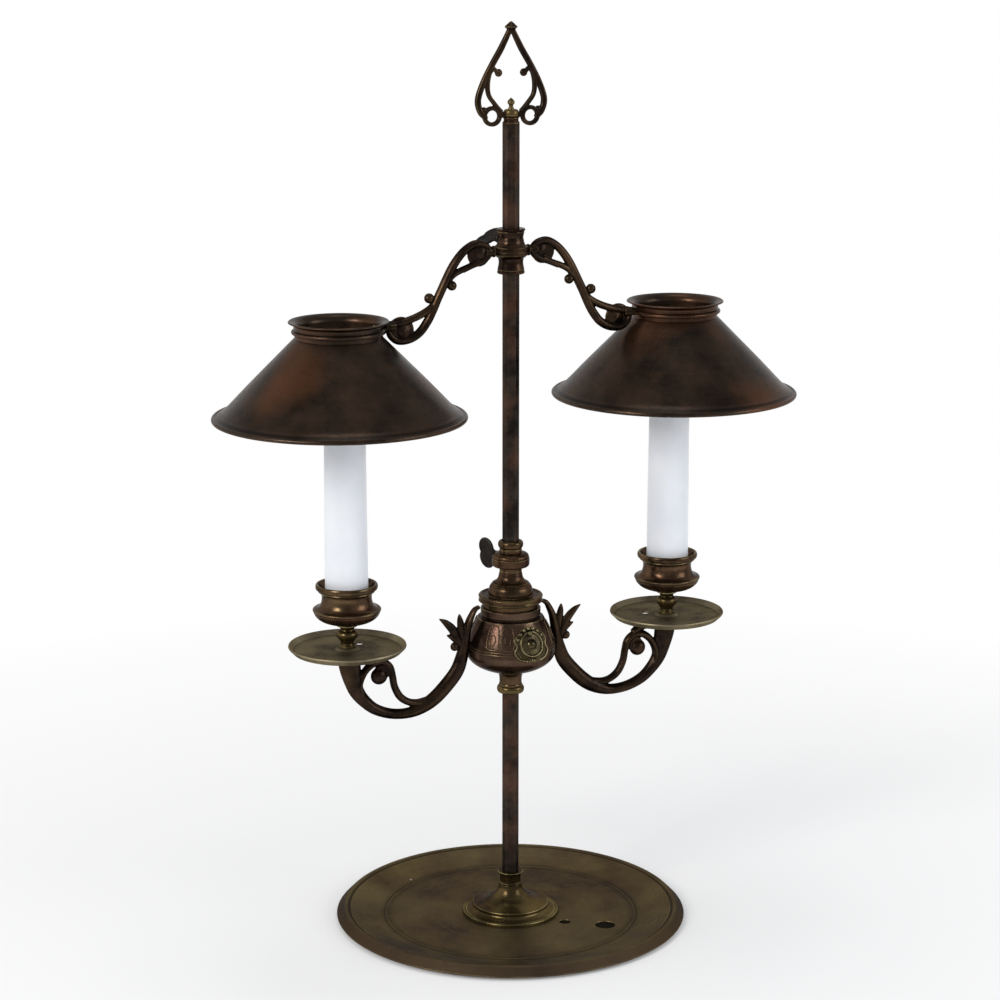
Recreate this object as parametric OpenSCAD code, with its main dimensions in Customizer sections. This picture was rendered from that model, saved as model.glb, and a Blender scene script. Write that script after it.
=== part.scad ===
// Bouillotte lamp: a dished base, a hexagonal stem, a sliding and turning pair
// of candle arms on an urn, and a sliding and turning pair of cone shades.
// Millimetres, +Z up, origin on the table under the stem, arms along X.

/* [Base] */
// Diameter of the base over its outer edge
base_d = 192; // [180:1:215]
// Diameter of the base at the crest of its rim
base_crest_d = 182; // [170:1:186]
// Diameter of the flat floor of the base
base_floor_d = 139; // [130:1:150]
// Height of the crest of the rim above the table
base_rim_h = 6.6; // [5:0.1:9]
// Height of the lower lip of the rim above the table
base_lip_lift = 1.5; // [0.5:0.1:2.5]
// Thickness of the metal of the base
base_sheet = 1.2; // [1:0.1:1.6]
// Diameter of the raised centre of the base
base_dome_d = 30; // [27:1:34]
// Height that the raised centre stands above the floor
base_dome_h = 3; // [2.6:0.1:3.4]
// Diameter of the large hole in the floor
cord_hole_d = 11.2; // [8:0.1:13]
// Distance of the large hole to the right of the stem
cord_hole_x = 40.4; // [34:0.1:44]
// Distance of the large hole in front of the stem
cord_hole_y = 38.6; // [34:0.1:40]
// Diameter of the small hole in the floor
pin_hole_d = 6.6; // [4:0.1:8]
// Distance of the small hole to the right of the stem
pin_hole_x = 21.6; // [20.5:0.1:26]
// Distance of the small hole in front of the stem
pin_hole_y = 26.3; // [25.5:0.1:30]

/* [Foot] */
// Diameter of the lower ring of the foot
foot_ring_d = 53; // [48:1:56]
// Height of the lower ring of the foot
foot_ring_h = 4.8; // [4.4:0.1:6]
// Diameter of the flange of the flared foot
foot_flange_d = 42.2; // [38:0.1:46]
// Height of the flared foot
foot_h = 19; // [17:0.5:24]
// Thickness of the flange at its edge
foot_edge = 1.3; // [1:0.1:2]
// Wall of the foot's neck round the stem
foot_wall = 1.1; // [0.9:0.1:1.6]
// Depth to which the stem stands in the foot
foot_socket = 15; // [12:0.5:16]
// Diameter of the nut under the base
base_nut_d = 16; // [13:0.5:20]
// Thickness of the nut under the base
base_nut_h = 2; // [1.6:0.1:2.1]
// Thickness of the washer under the base
base_washer_h = 0.6; // [0.4:0.1:0.7]
// Diameter of the washer under the base
base_washer_d = 22; // [18:0.5:26]

/* [Stem] */
// Width of the hexagonal rod across its flats
rod_af = 7.94; // [7:0.01:9]
// Height of the top of the rod above the table
rod_top_z = 434.9; // [425:0.5:460]
// Turn of the rod's flats away from the arms, in degrees
rod_turn = 11; // [0:1:30]
// Diameter of the turned end of the rod
tenon_d = 6; // [5:0.1:6.5]

/* [Finial] */
// Height of the ferrule between the rod and the finial
ferrule_h = 3.3; // [2.5:0.1:5]
// Height of the openwork frame above the ferrule
finial_h = 47.4; // [40:0.2:55]
// Width of the openwork frame
finial_w = 40; // [34:0.5:46]
// Thickness of the openwork frame
finial_t = 3; // [2.4:0.1:4]
// Width of the bars of the frame
finial_bar = 3.2; // [2.6:0.1:3.6]
// Diameter of the holes of the two rings
finial_eye_d = 6; // [4.6:0.1:6.6]
// Diameter of the round hub between the rings
finial_hub_d = 8.2; // [7:0.1:9]
// Height of the round hub
finial_hub_h = 4.2; // [3.6:0.1:5]
// Height of the bud on the hub
bud_h = 6; // [4.5:0.1:7]
// Diameter of the bud
bud_d = 3.8; // [3:0.1:5]
// Diameter of the threaded shank under the bud
finial_screw_d = 3; // [2.4:0.1:3.6]
// Length of the shank in the rod
finial_screw_l = 10; // [6:0.5:16]

/* [Shade carrier] */
// Height of the band of the shade collar above the table
shade_collar_z = 368.8; // [360:0.5:378]
// Wall of the sliding bush round the rod's corners
bush_wall = 0.95; // [0.8:0.05:1.2]
// Length of the turning part of the shade collar
collar_l = 20.6; // [18:0.1:24]
// Wall of the shade collar at its waists
collar_wall = 0.85; // [0.7:0.05:1.2]
// Wall of the shade collar at its band
collar_band_wall = 3.6; // [3.2:0.1:4.6]
// Height of the band
collar_band_h = 4.6; // [4:0.1:6]
// Width that the lips of the bush stand out from the bush
bush_lip = 2; // [1.6:0.1:2.6]
// Thickness of the top lip of the bush
bush_lip_h = 1.4; // [1:0.1:2]
// Thickness of the ring nut under the bush
bush_nut_h = 1.6; // [1.2:0.1:2.4]
// Distance from the stem to the middle of a shade
shade_reach = 95.5; // [88:0.5:104]
// Height from the shade's neck up to the collar's band
shade_drop = 36; // [32:0.5:42]
// Width of the bar of a shade bracket
bracket_w = 4.8; // [4:0.1:5.8]
// Half thickness of a shade bracket
bracket_t = 2.6; // [2:0.1:3.2]
// Diameter of a bracket's shoulder against the collar's band
bracket_shoulder_d = 6.2; // [4.6:0.1:7]
// Diameter of the pin that holds a bracket in the collar
bracket_pin_d = 3.4; // [2.6:0.1:3.8]

/* [Shade] */
// Diameter of a shade over its rim
shade_d = 133; // [124:1:140]
// Height of a shade from its rim to its neck
shade_h = 45.2; // [40:0.2:50]
// Thickness of the metal of a shade
shade_sheet = 0.8; // [0.6:0.1:1]
// Width of the turned-out lip along the rim
shade_lip_w = 4.5; // [3:0.1:6]
// Height of the turned-out lip along the rim
shade_lip_h = 2.4; // [1.5:0.1:3.5]
// Diameter of the rolled edge
shade_roll_d = 1.8; // [1.4:0.1:2.2]
// Diameter of the spigot of the neck inside the shade
neck_spigot_d = 44; // [40:0.5:48]
// Wall of the neck's spigot
neck_wall = 1.2; // [0.9:0.1:1.6]
// Height of the spigot below the bead
neck_spigot_h = 4.4; // [3:0.1:6]
// Width that the bead stands out from the spigot
neck_bead = 2.5; // [2:0.1:3.2]
// Height of the bead
neck_bead_h = 2.1; // [1.6:0.1:2.6]
// Height from the bead to the top of the neck
neck_h = 4.6; // [4.2:0.1:6]
// Width that the flared top stands out from the spigot
neck_flare = 4.1; // [3.4:0.1:5]
// Diameter of the shank of a rivet
rivet_d = 1.8; // [1.4:0.1:2]
// Distance between the two rivets of a bracket
rivet_gap = 5; // [4.4:0.1:5.6]
// Distance of a rivet's head from the bore of the neck
rivet_stand = 0.6; // [0.5:0.1:0.9]

/* [Candle carrier] */
// Height of the underside of the urn's cap flange above the table
urn_top_z = 179; // [172:0.5:186]
// Wall of the sliding sleeve round the rod's corners
sleeve_wall = 0.6; // [0.5:0.05:0.8]
// Diameter of the bead on top of the sleeve
sleeve_bead_d = 13.7; // [12.8:0.1:15]
// Height of the bead on top of the sleeve
sleeve_bead_h = 4.6; // [3.6:0.1:5.6]
// Diameter of the ring nut under the sleeve
sleeve_nut_d = 14.8; // [13.4:0.1:16]
// Height of the ring nut under the sleeve
sleeve_nut_h = 4; // [3:0.1:5]
// Diameter of the band of the candle collar
band_d = 20.4; // [18:0.1:24]
// Height of the band of the candle collar
band_h = 7.4; // [6.6:0.1:9]
// Height of the candle collar
candle_collar_h = 11.7; // [11:0.1:14]
// Wall of the thin turned necks round the sleeve
neck_ring_wall = 0.8; // [0.6:0.05:1]
// Diameter of the flange of the urn's cap
cap_d = 34.8; // [32:0.1:38]
// Height of the cap above the underside of its flange
cap_h = 17.2; // [16:0.1:20]
// Height of the rim of the cap's flange
cap_rim_h = 4; // [3:0.1:5]
// Diameter of the foot of the cap's dome
cap_dome_d = 24; // [23:0.1:28]
// Height of the recessed neck between the cap's flange and the urn
cap_neck_h = 3; // [2.4:0.1:4]
// Diameter of the mouth of the urn
urn_mouth_d = 31.2; // [29:0.1:33]
// Height of the ring round the urn's mouth
urn_ring_h = 4.2; // [3:0.1:5]
// Greatest diameter of the urn
urn_d = 48.4; // [45:0.1:52]
// Height of the urn above its greatest diameter
urn_up = 24.5; // [22:0.5:28]
// Depth of the urn below its greatest diameter
urn_down = 12; // [10:0.5:15]
// Wall of the urn
urn_wall = 2; // [1.6:0.1:2.4]
// Diameter of the tail at the urn
tail_d = 16.6; // [15:0.1:18]
// Height of the tail
tail_h = 8.3; // [7:0.1:11]
// Turn of the urn's ornaments away from the front, in degrees
ornament_turn = 8; // [0:1:20]
// Diameter of the round ornaments on the urn
ornament_d = 15.5; // [12:0.1:17]
// Height of the ornaments above the urn's greatest diameter
ornament_up = 8.5; // [4:0.5:11]

/* [Candle arms] */
// Distance from the stem to the middle of a candle
candle_reach = 93; // [87:0.5:100]
// Height from the lowest point of an arm up to its seat
arm_rise = 41.3; // [38:0.1:44]
// Height of an arm's seat below the underside of the cap's flange
arm_seat_drop = 18.1; // [16:0.1:21]
// Width of the bar of a candle arm at its lowest point
arm_w = 6; // [5:0.1:6.6]
// Half thickness of a candle arm
arm_t = 3.2; // [2.6:0.1:3.8]
// Diameter of the tenon that passes through the urn
arm_tenon_d = 4.8; // [4.2:0.1:5.6]
// Depth of the tenon below the urn's mouth
arm_tenon_drop = 20; // [18.5:0.1:21]
// Length of the tenon inside the urn's wall
arm_tenon_in = 1.8; // [1.4:0.1:2.4]
// Diameter of the screw in the tenon
arm_screw_d = 2.6; // [2:0.1:3]
// Depth of the screw in the tenon
arm_screw_grip = 5; // [4:0.1:5.6]
// Diameter of the seat under the drip pan
arm_seat_d = 13.6; // [12:0.1:16]

/* [Drip pans and cups] */
// Diameter of a drip pan
pan_d = 62.6; // [56:0.2:70]
// Height of a drip pan
pan_h = 3.5; // [3:0.1:5]
// Thickness of the metal of a drip pan
pan_sheet = 1; // [0.8:0.1:1.3]
// Width of the sloping rim of a drip pan
pan_rim_w = 2.6; // [2.4:0.1:4]
// Diameter of the raised boss in a drip pan
pan_boss_d = 14; // [12:0.5:17]
// Height of the raised boss above the floor of the pan
pan_boss_h = 1.1; // [0.8:0.1:1.6]
// Diameter of the drain hole in a drip pan
drain_d = 4.2; // [3:0.1:4.6]
// Distance of the drain hole from the candle's axis towards the stem
drain_x = 9.3; // [8.4:0.1:12]
// Distance of the drain hole from the candle's axis towards the back
drain_y = 7.9; // [7:0.1:12]
// Height of the baluster stem under a cup
stem_h = 12.5; // [11:0.1:15]
// Diameter of the bead of the baluster stem
stem_bead_d = 11.4; // [10:0.1:13]
// Diameter of the stud through pan, stem and cup
stud_d = 3; // [2.4:0.1:3.6]
// Length of the stud in the arm
stud_grip = 8; // [5:0.5:9]
// Height of a candle cup
cup_h = 22.3; // [20.5:0.1:25]
// Diameter of the rim of a candle cup
cup_rim_d = 33; // [31:0.1:36]
// Diameter of the belly of a candle cup
cup_belly_d = 36.2; // [34:0.1:40]
// Wall of a candle cup at its waist
cup_wall = 1.2; // [1:0.1:1.8]
// Depth of the socket in a candle cup
cup_depth = 14.8; // [13:0.1:15.6]

/* [Candles] */
// Diameter of a candle at its foot
candle_d = 23; // [20:0.1:24]
// Diameter of a candle at its top
candle_top_d = 21.8; // [18:0.1:24]
// Length of a candle
candle_l = 94.5; // [60:0.5:95]
// Diameter of a wick
wick_d = 1.4; // [1.2:0.1:2]
// Length of the wick above the candle
wick_up = 6; // [3:0.1:6.4]
// Depth of the wick in the candle
wick_in = 8; // [5:0.5:20]

/* [Thumb-screws] */
// Direction of both thumb-screws, counted from the right towards the back
thumb_dir = 110; // [100:1:120]
// Diameter of the shank of a thumb-screw
thumb_d = 3; // [2.4:0.1:3.4]
// Reach of a thumb-screw's shoulder outside the collar
thumb_stand = 2.4; // [2:0.1:4]
// Length of the wing beyond the shoulder
wing_l = 12.4; // [11.6:0.1:14]
// Width of the wing across both lobes
wing_w = 17.4; // [14:0.1:17.6]
// Clearance of a thumb-screw's tip and shoulder, a little loosened
thumb_gap = 0.3; // [0.2:0.05:0.5]
// Thickness of the wing
wing_t = 1.8; // [1.4:0.1:2.4]
// Turn of the shade collar's wing out of the level, in degrees
shade_wing_turn = 155; // [0:1:180]
// Turn of the candle collar's wing out of the level, in degrees
candle_wing_turn = 84; // [0:1:180]

/* [Fits] */
// Gap on each side between sliding or turning pieces
run_gap = 0.06; // [0.04:0.01:0.08]
// Gap on each side between pieces that are fixed together
fit_gap = 0.04; // [0.02:0.01:0.06]
// Loose gap on each side between a candle and its socket
candle_gap = 0.5; // [0.3:0.1:0.8]

/* [Hidden] */
$fn = 64;

// Colours of the finishes
BRONZE = "#4a3a2c";
COPPER = "#6b4630";
BRASS = "#6e5f3c";
IRON = "#3a3430";
WAX = "#e6e8ee";
COTTON = "#c9c2b2";

// Heights of the base and the foot
dome_top = base_sheet + base_dome_h;
foot_z = base_sheet + foot_ring_h;
foot_top = foot_z + foot_h;
rod_z = foot_top - foot_socket;

// Radii round the rod
rod_r = rod_af / 2 / cos(30);
tenon_r = tenon_d / 2;
bush_r = rod_r + bush_wall;
sleeve_r = rod_r + sleeve_wall;
collar_bore = bush_r + run_gap;
sleeve_bore = sleeve_r + run_gap;
collar_band_r = collar_bore + collar_band_wall;

// Heights of the shade carrier
collar_z = shade_collar_z - collar_l / 2;
collar_top = collar_z + collar_l;
bush_nut_z = collar_z - run_gap - bush_nut_h;
bush_lip_z = collar_top + run_gap;
shade_thumb_z = shade_collar_z + collar_band_h / 2 + 3.4;
neck_z = shade_collar_z - shade_drop;

// Radii and heights of the shade's neck
spigot_r = neck_spigot_d / 2;
bead_r = spigot_r + neck_bead;
groove_r = spigot_r + neck_bead / 2;
bead_z = neck_z - neck_bead_h;
rim_z = bead_z - shade_h;
rivet_z = bead_z + neck_bead_h / 2;

// Heights of the candle carrier
cap_top = urn_top_z + cap_h;
collar2_top = cap_top + candle_collar_h;
urn_mouth_z = urn_top_z - cap_neck_h;
urn_wide_z = urn_mouth_z - urn_up;
urn_floor_z = urn_wide_z - urn_down * sin(70);
tail_z = urn_floor_z - tail_h;
sleeve_nut_z = tail_z - run_gap - sleeve_nut_h;
candle_thumb_z = cap_top + (candle_collar_h - band_h) / 2 + band_h / 2;

// Heights of the pans, cups and candles
seat_z = urn_top_z - arm_seat_drop;
arm_low_z = seat_z - arm_rise;
boss_z = seat_z + pan_sheet + pan_boss_h;
cup_z = boss_z + stem_h;
socket_z = cup_z + cup_h - cup_depth;
candle_top = socket_z + candle_l;
socket_r = candle_d / 2 + candle_gap;
waist_r = socket_r + cup_wall;
tenon_z = urn_mouth_z - arm_tenon_drop;
tenon_x = urn_d / 2 - urn_wall - arm_tenon_in;

// Height and width of the finial
frame_z = rod_top_z + ferrule_h;
eye_r = finial_eye_d / 2;
eye_ring = eye_r + finial_bar * 0.72;
eye_x = finial_hub_d / 2 + eye_ring + 1.2;

// ---------------------------------------------------------------- helpers

// Points of an elliptical arc, with n steps from angle a to angle b
function arc(x, z, rx, rz, a, b, n) =
  [for (i = [0:n]) let (t = a + (b - a) * i / n) [x + rx * cos(t), z + rz * sin(t)]];

// One point of a smooth curve through b and c, with neighbours a and d
function spline(a, b, c, d, u) =
  0.5 * (2 * b + (c - a) * u + (2 * a - 5 * b + 4 * c - d) * u * u
         + (3 * b - a - 3 * c + d) * u * u * u);

// A smooth curve through the points p, with n steps between each two
function smooth(p, n) =
  let (last = len(p) - 1)
  [for (i = [0:last - 1]) for (k = [0:n - 1])
     spline(p[max(i - 1, 0)], p[i], p[i + 1], p[min(i + 2, last)], k / n), p[last]];

// Unit direction of the curve p at its point i, in the X-Z plane
function heading(p, i) =
  let (a = p[max(i - 1, 0)], b = p[min(i + 1, len(p) - 1)], d = [b[0] - a[0], b[1] - a[1]])
  d / norm(d);

// A bar with elliptical sections along p = [x, z, half width, half thickness]
module bar(p, sides) {
  rings = len(p);
  points = [
    for (i = [0:rings - 1]) let (h = heading(p, i)) for (k = [0:sides - 1])
      let (a = 360 * k / sides, w = p[i][2] * cos(a))
      [p[i][0] - h[1] * w, p[i][3] * sin(a), p[i][1] + h[0] * w]
  ];
  walls = [
    for (i = [0:rings - 2]) for (k = [0:sides - 1])
      let (m = (k + 1) % sides, a = i * sides, b = a + sides)
      each [[a + k, b + m, b + k], [a + k, a + m, b + m]]
  ];
  foot = [for (k = [sides - 1:-1:0]) k];
  head = [for (k = [0:sides - 1]) (rings - 1) * sides + k];
  polyhedron(points, concat([foot], walls, [head]), convexity = 8);
}

// A flat strip with parallel edges along p = [x, z, half width]
module strip(p) {
  left = [for (i = [0:len(p) - 1]) let (h = heading(p, i))
    [p[i][0] - h[1] * p[i][2], p[i][1] + h[0] * p[i][2]]];
  right = [for (i = [len(p) - 1:-1:0]) let (h = heading(p, i))
    [p[i][0] + h[1] * p[i][2], p[i][1] - h[0] * p[i][2]]];
  polygon(concat(left, right));
}

// A ball at p = [x, z, radius]
module ball(p) {
  translate([p[0], 0, p[1]]) sphere(p[2], $fn = 20);
}

// A disc across the plane of the arms at p = [x, z, radius], with half thickness t
module boss(p, t) {
  translate([p[0], t, p[1]]) rotate([90, 0, 0]) cylinder(r = p[2], h = 2 * t, $fn = 24);
}

// Joins crossing bars into one casting
module cast() {
  resize([0, 0, 0]) union() children();
}

// A turned solid from its outline
module turned(outline) {
  rotate_extrude() polygon(outline);
}

// A hexagonal prism on the rod's flats, grown by gap on each side
module hexagon(z, h, gap) {
  translate([0, 0, z])
    rotate(rod_turn + 30)
      cylinder(r = (rod_af / 2 + gap) / cos(30), h = h, $fn = 6);
}

// A cylinder that points along +X from x
module along_x(x, z, r, l) {
  translate([x, 0, z]) rotate([0, 90, 0]) cylinder(r = r, h = l);
}

// The child, mirrored to the left side when left is true
module side(left) {
  mirror([left ? 1 : 0, 0, 0]) children();
}

// ---------------------------------------------------------------- base and foot

// Outline of the rim's slope, from the floor up to the crest
function base_slope(drop) =
  let (a = base_floor_d / 2, b = base_crest_d / 2 - 2.6, h = base_rim_h - 1 - base_sheet)
  [for (i = [0:8]) let (s = i / 8) [a + (b - a) * s, base_sheet - drop + h * pow(s, 1.3)]];

module base_plate() {
  crest = base_crest_d / 2;
  edge = base_d / 2;
  floor_r = base_floor_d / 2;
  dome_r = base_dome_d / 2;
  top = concat(
    [[tenon_r + fit_gap, dome_top], [dome_r, dome_top], [dome_r + base_dome_h, base_sheet],
     [floor_r - 1.6, base_sheet], [floor_r - 1.1, base_sheet + 0.35],
     [floor_r - 0.5, base_sheet + 0.35]],
    base_slope(0),
    [[crest - 2.1, base_rim_h - 1.3]],
    arc(crest, base_rim_h - 1.2, 1.4, 1.2, 150, 50, 4),
    [[edge, base_lip_lift + 0.7], [edge - 0.5, base_lip_lift]]);
  under = concat(
    [[edge - 1.5, base_lip_lift], [crest - 0.3, base_rim_h - 2.2]],
    [for (i = [8:-1:0]) base_slope(base_sheet)[i]],
    [[dome_r + base_dome_h - 1.2, 0], [dome_r - 1.2, base_dome_h],
     [tenon_r + fit_gap, base_dome_h]]);
  color(BRASS)
    difference() {
      turned(concat(top, under));
      translate([cord_hole_x, -cord_hole_y, -1]) cylinder(d = cord_hole_d, h = base_sheet + 2);
      translate([pin_hole_x, -pin_hole_y, -1]) cylinder(d = pin_hole_d, h = base_sheet + 2);
    }
}

module foot_ring() {
  r = foot_ring_d / 2;
  step = foot_flange_d / 2 - 0.9;
  recess = base_dome_d / 2 + base_dome_h + 0.5;
  color(BRASS)
    turned(concat(
      [[tenon_r + fit_gap, dome_top], [recess, dome_top], [recess, base_sheet],
       [r - 0.4, base_sheet], [r, base_sheet + 0.4]],
      arc(r - 0.9, base_sheet + 1.3, 0.9, 0.8, 0, 130, 5),
      [[r - 1.8, base_sheet + 1.6]],
      arc(r - 1.8, foot_z - 0.4, r - 1.8 - step, foot_z - 2.2 - base_sheet, 270, 180, 5),
      [[step, foot_z], [tenon_r + fit_gap, foot_z]]));
}

module foot_flare() {
  r = foot_flange_d / 2;
  bore = rod_r + fit_gap;
  neck = bore + foot_wall;
  bead_at = foot_z + foot_h * 0.6;
  color(BRASS)
    turned(concat(
      [[tenon_r + fit_gap, foot_z], [r - 0.5, foot_z]],
      arc(r - 0.5, foot_z + foot_edge / 2, 0.5, foot_edge / 2, -80, 80, 4),
      arc(r - 0.9, bead_at, r - 0.9 - neck - 0.5, bead_at - foot_z - foot_edge, 270, 180, 10),
      arc(neck, bead_at + 0.9, 0.8, 0.8, -60, 60, 4),
      [[neck, bead_at + 2], [neck, foot_top - 2.6]],
      arc(neck + 1.2, foot_top - 2.6, 1.2, 2, 180, 100, 4),
      [[neck + 1.3, foot_top - 0.3], [neck + 1, foot_top], [bore, foot_top],
       [bore, rod_z], [tenon_r + fit_gap, rod_z]]));
}

module base_washer() {
  color(BRASS)
    difference() {
      translate([0, 0, base_dome_h - base_washer_h])
        cylinder(d = base_washer_d, h = base_washer_h);
      cylinder(r = tenon_r + fit_gap, h = base_dome_h + 1);
    }
}

module base_nut() {
  z = base_dome_h - base_washer_h - base_nut_h;
  color(IRON)
    difference() {
      translate([0, 0, z]) cylinder(d = base_nut_d, h = base_nut_h, $fn = 6);
      translate([0, 0, z - 1]) cylinder(r = tenon_r + fit_gap, h = base_nut_h + 2);
    }
}

// ---------------------------------------------------------------- stem and finial

module stem_rod() {
  tenon_low = base_dome_h - base_washer_h - base_nut_h;
  color(IRON)
    difference() {
      union() {
        hexagon(rod_z, rod_top_z - rod_z, 0);
        translate([0, 0, tenon_low]) cylinder(r = tenon_r, h = rod_z - tenon_low + 1);
      }
      translate([0, 0, rod_top_z - finial_screw_l - 1])
        cylinder(d = finial_screw_d + 2 * fit_gap, h = finial_screw_l + 2);
    }
}

module finial_ferrule() {
  bore = finial_screw_d / 2 + fit_gap;
  r = rod_r - 0.4;
  color(BRONZE)
    turned([[bore, rod_top_z], [r + 0.3, rod_top_z], [r + 0.3, rod_top_z + 0.8],
            [r - 0.3, rod_top_z + 1.4], [r - 0.3, frame_z - 0.8], [r, frame_z - 0.4],
            [r, frame_z], [bore, frame_z]]);
}

// Half of the flat outline of the finial's frame, for x above zero
module finial_half() {
  w = finial_bar / 2;
  h = finial_h;
  x = finial_w / 2 - w;
  outer = [[0.2, h - 1.5, w * 0.8], [0.3 * x, 0.75 * h, w], [0.58 * x, 0.57 * h, w],
           [0.84 * x, 0.38 * h, w], [x, 0.2 * h, w], [0.93 * x, 0.07 * h, w],
           [eye_x + eye_ring * 0.6, -0.3, w * 0.8]];
  inner = [[0.62 * x, 0.52 * h, w * 0.6], [0.71 * x, 0.38 * h, w * 0.75],
           [0.68 * x, 0.25 * h, w * 0.7], [0.5 * x, 0.15 * h, w * 0.7],
           [0.3 * x, 0.06 * h, w * 0.8]];
  curl = [[0.42 * x, 0.49 * h, w * 0.6], [0.55 * x, 0.53 * h, w * 0.7],
          [0.68 * x, 0.46 * h, w * 0.6]];
  translate([0, frame_z]) {
    difference() {
      union() {
        strip(smooth(outer, 4));
        strip(smooth(inner, 4));
        strip(smooth(curl, 3));
        translate([0.38 * x, 0.485 * h]) circle(w * 1.3);
        translate([eye_x, eye_ring - 4.5]) circle(eye_ring);
        translate([eye_x + eye_ring * 0.85, eye_ring * 0.75]) circle(w * 1.1);
        translate([0, 0.2]) square([eye_x - eye_r, finial_hub_h - 0.6]);
      }
      translate([eye_x, eye_ring - 4.5]) circle(eye_r);
    }
  }
}

module finial_frame() {
  bore = finial_screw_d / 2 + fit_gap;
  hub_r = finial_hub_d / 2;
  tip = frame_z + finial_h;
  color(BRONZE)
    difference() {
      union() {
        rotate([90, 0, 0])
          translate([0, 0, -finial_t / 2])
            linear_extrude(finial_t) {
              finial_half();
              mirror([1, 0]) finial_half();
            }
        turned(concat([[0, frame_z], [hub_r - 1.4, frame_z]],
          arc(hub_r - 1.4, frame_z + finial_hub_h / 2, 1.4, finial_hub_h / 2, -80, 80, 6),
          [[hub_r - 1.4, frame_z + finial_hub_h], [0, frame_z + finial_hub_h]]));
        translate([0, 0, tip - 3.4]) cylinder(r1 = 0.9, r2 = 3.5, h = 2.2, $fn = 24);
        translate([0, 0, tip - 1.2]) cylinder(r1 = 3.5, r2 = 0.6, h = 2.9, $fn = 24);
      }
      translate([0, 0, frame_z - 1]) cylinder(r = bore, h = finial_hub_h + 1.2);
    }
}

module finial_screw() {
  z = frame_z + finial_hub_h;
  r = bud_d / 2;
  shank = finial_screw_d / 2;
  low = rod_top_z - finial_screw_l;
  color(BRASS)
    turned(concat([[0, low], [shank, low], [shank, z], [shank + 0.2, z], [shank * 0.7, z + 1.6]],
      arc(0, z + bud_h * 0.6, r, bud_h * 0.28, -50, 40, 6),
      [[0.5, z + bud_h - 0.4], [0, z + bud_h]]));
}

// ---------------------------------------------------------------- thumb-screws

// A wing screw along +X with its tip at radius tip and its shoulder at radius seat
module thumb_screw(tip, seat) {
  shank = thumb_d / 2;
  lobe = wing_w * 0.325;
  apart = wing_w / 2 - lobe;
  meet = asin(apart / lobe);
  hub = seat + thumb_stand;
  middle = hub + wing_l - lobe;
  along_x(tip, 0, shank, hub - tip);
  along_x(seat + thumb_gap, 0, shank + 1.1, thumb_stand);
  translate([0, 0, -wing_t / 2])
    linear_extrude(wing_t)
      polygon(concat([[hub - 0.4, shank + 0.4], [hub - 0.4, -shank - 0.4]],
        arc(middle, -apart, lobe, lobe, 200, 360 + meet, 14),
        arc(middle, apart, lobe, lobe, -meet, 160, 14)));
}

module shade_thumb_screw() {
  color(IRON)
    translate([0, 0, shade_thumb_z])
      rotate([0, 0, thumb_dir])
        rotate([shade_wing_turn, 0, 0])
          thumb_screw(bush_r + thumb_gap, collar_bore + collar_wall + 1.3);
}

module candle_thumb_screw() {
  color(IRON)
    translate([0, 0, candle_thumb_z])
      rotate([0, 0, thumb_dir])
        rotate([candle_wing_turn, 0, 0])
          thumb_screw(sleeve_r + thumb_gap, band_d / 2);
}

// The hole of a thumb-screw in a collar that is bored to the radius from
module thumb_hole(z, from) {
  translate([0, 0, z])
    rotate([0, 0, thumb_dir])
      along_x(from - 0.5, 0, thumb_d / 2 + run_gap, band_d);
}

// ---------------------------------------------------------------- shade carrier

// A saw cut through one side of a split tube
module split(z, h) {
  translate([0, -0.4, z - 1]) cube([band_d, 0.8, h + 2]);
}

module shade_bush() {
  lip = bush_r + bush_lip;
  color(COPPER)
    difference() {
      turned([[0, bush_nut_z], [bush_r, bush_nut_z], [bush_r, bush_lip_z], [lip - 0.5, bush_lip_z],
              [lip, bush_lip_z + 0.5], [lip, bush_lip_z + bush_lip_h - 0.3],
              [lip - 0.3, bush_lip_z + bush_lip_h], [0, bush_lip_z + bush_lip_h]]);
      hexagon(bush_nut_z - 1, collar_l + bush_nut_h + bush_lip_h + 3, run_gap);
      rotate(-thumb_dir / 2) split(bush_nut_z, collar_l + bush_nut_h + bush_lip_h + 1);
    }
}

module shade_bush_nut() {
  r = bush_r + bush_lip - 0.3;
  bore = bush_r + fit_gap;
  z = bush_nut_z;
  color(COPPER)
    turned([[bore, z], [r - 0.4, z], [r, z + 0.4], [r, z + bush_nut_h - 0.3],
            [r - 0.3, z + bush_nut_h], [bore, z + bush_nut_h]]);
}

module shade_collar() {
  waist = collar_bore + collar_wall;
  lip = waist + 0.6;
  low = shade_collar_z - collar_band_h / 2;
  high = shade_collar_z + collar_band_h / 2;
  band = collar_band_r;
  dip = 0.25;
  color(COPPER)
    difference() {
      turned(concat(
        [[collar_bore, collar_z], [lip, collar_z], [lip, collar_z + 0.8],
         [waist + 0.1, collar_z + 3.2], [waist, collar_z + 4.6], [waist + 0.3, low - 1.6],
         [band - 0.9, low - 0.4], [band, low + 0.4], [band, shade_collar_z - dip],
         [band - dip, shade_collar_z], [band, shade_collar_z + dip], [band, high - 0.4]],
        arc(band, high + 4.2, band - waist - 0.3, 4.2, 265, 185, 6),
        [[waist, high + 4.8], [lip, collar_top - 0.6], [lip, collar_top],
         [collar_bore, collar_top]]));
      thumb_hole(shade_thumb_z, collar_bore);
      for (left = [false, true])
        side(left)
          along_x(collar_bore + 0.8, shade_collar_z, bracket_pin_d / 2 + fit_gap, band_d);
    }
}

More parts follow.
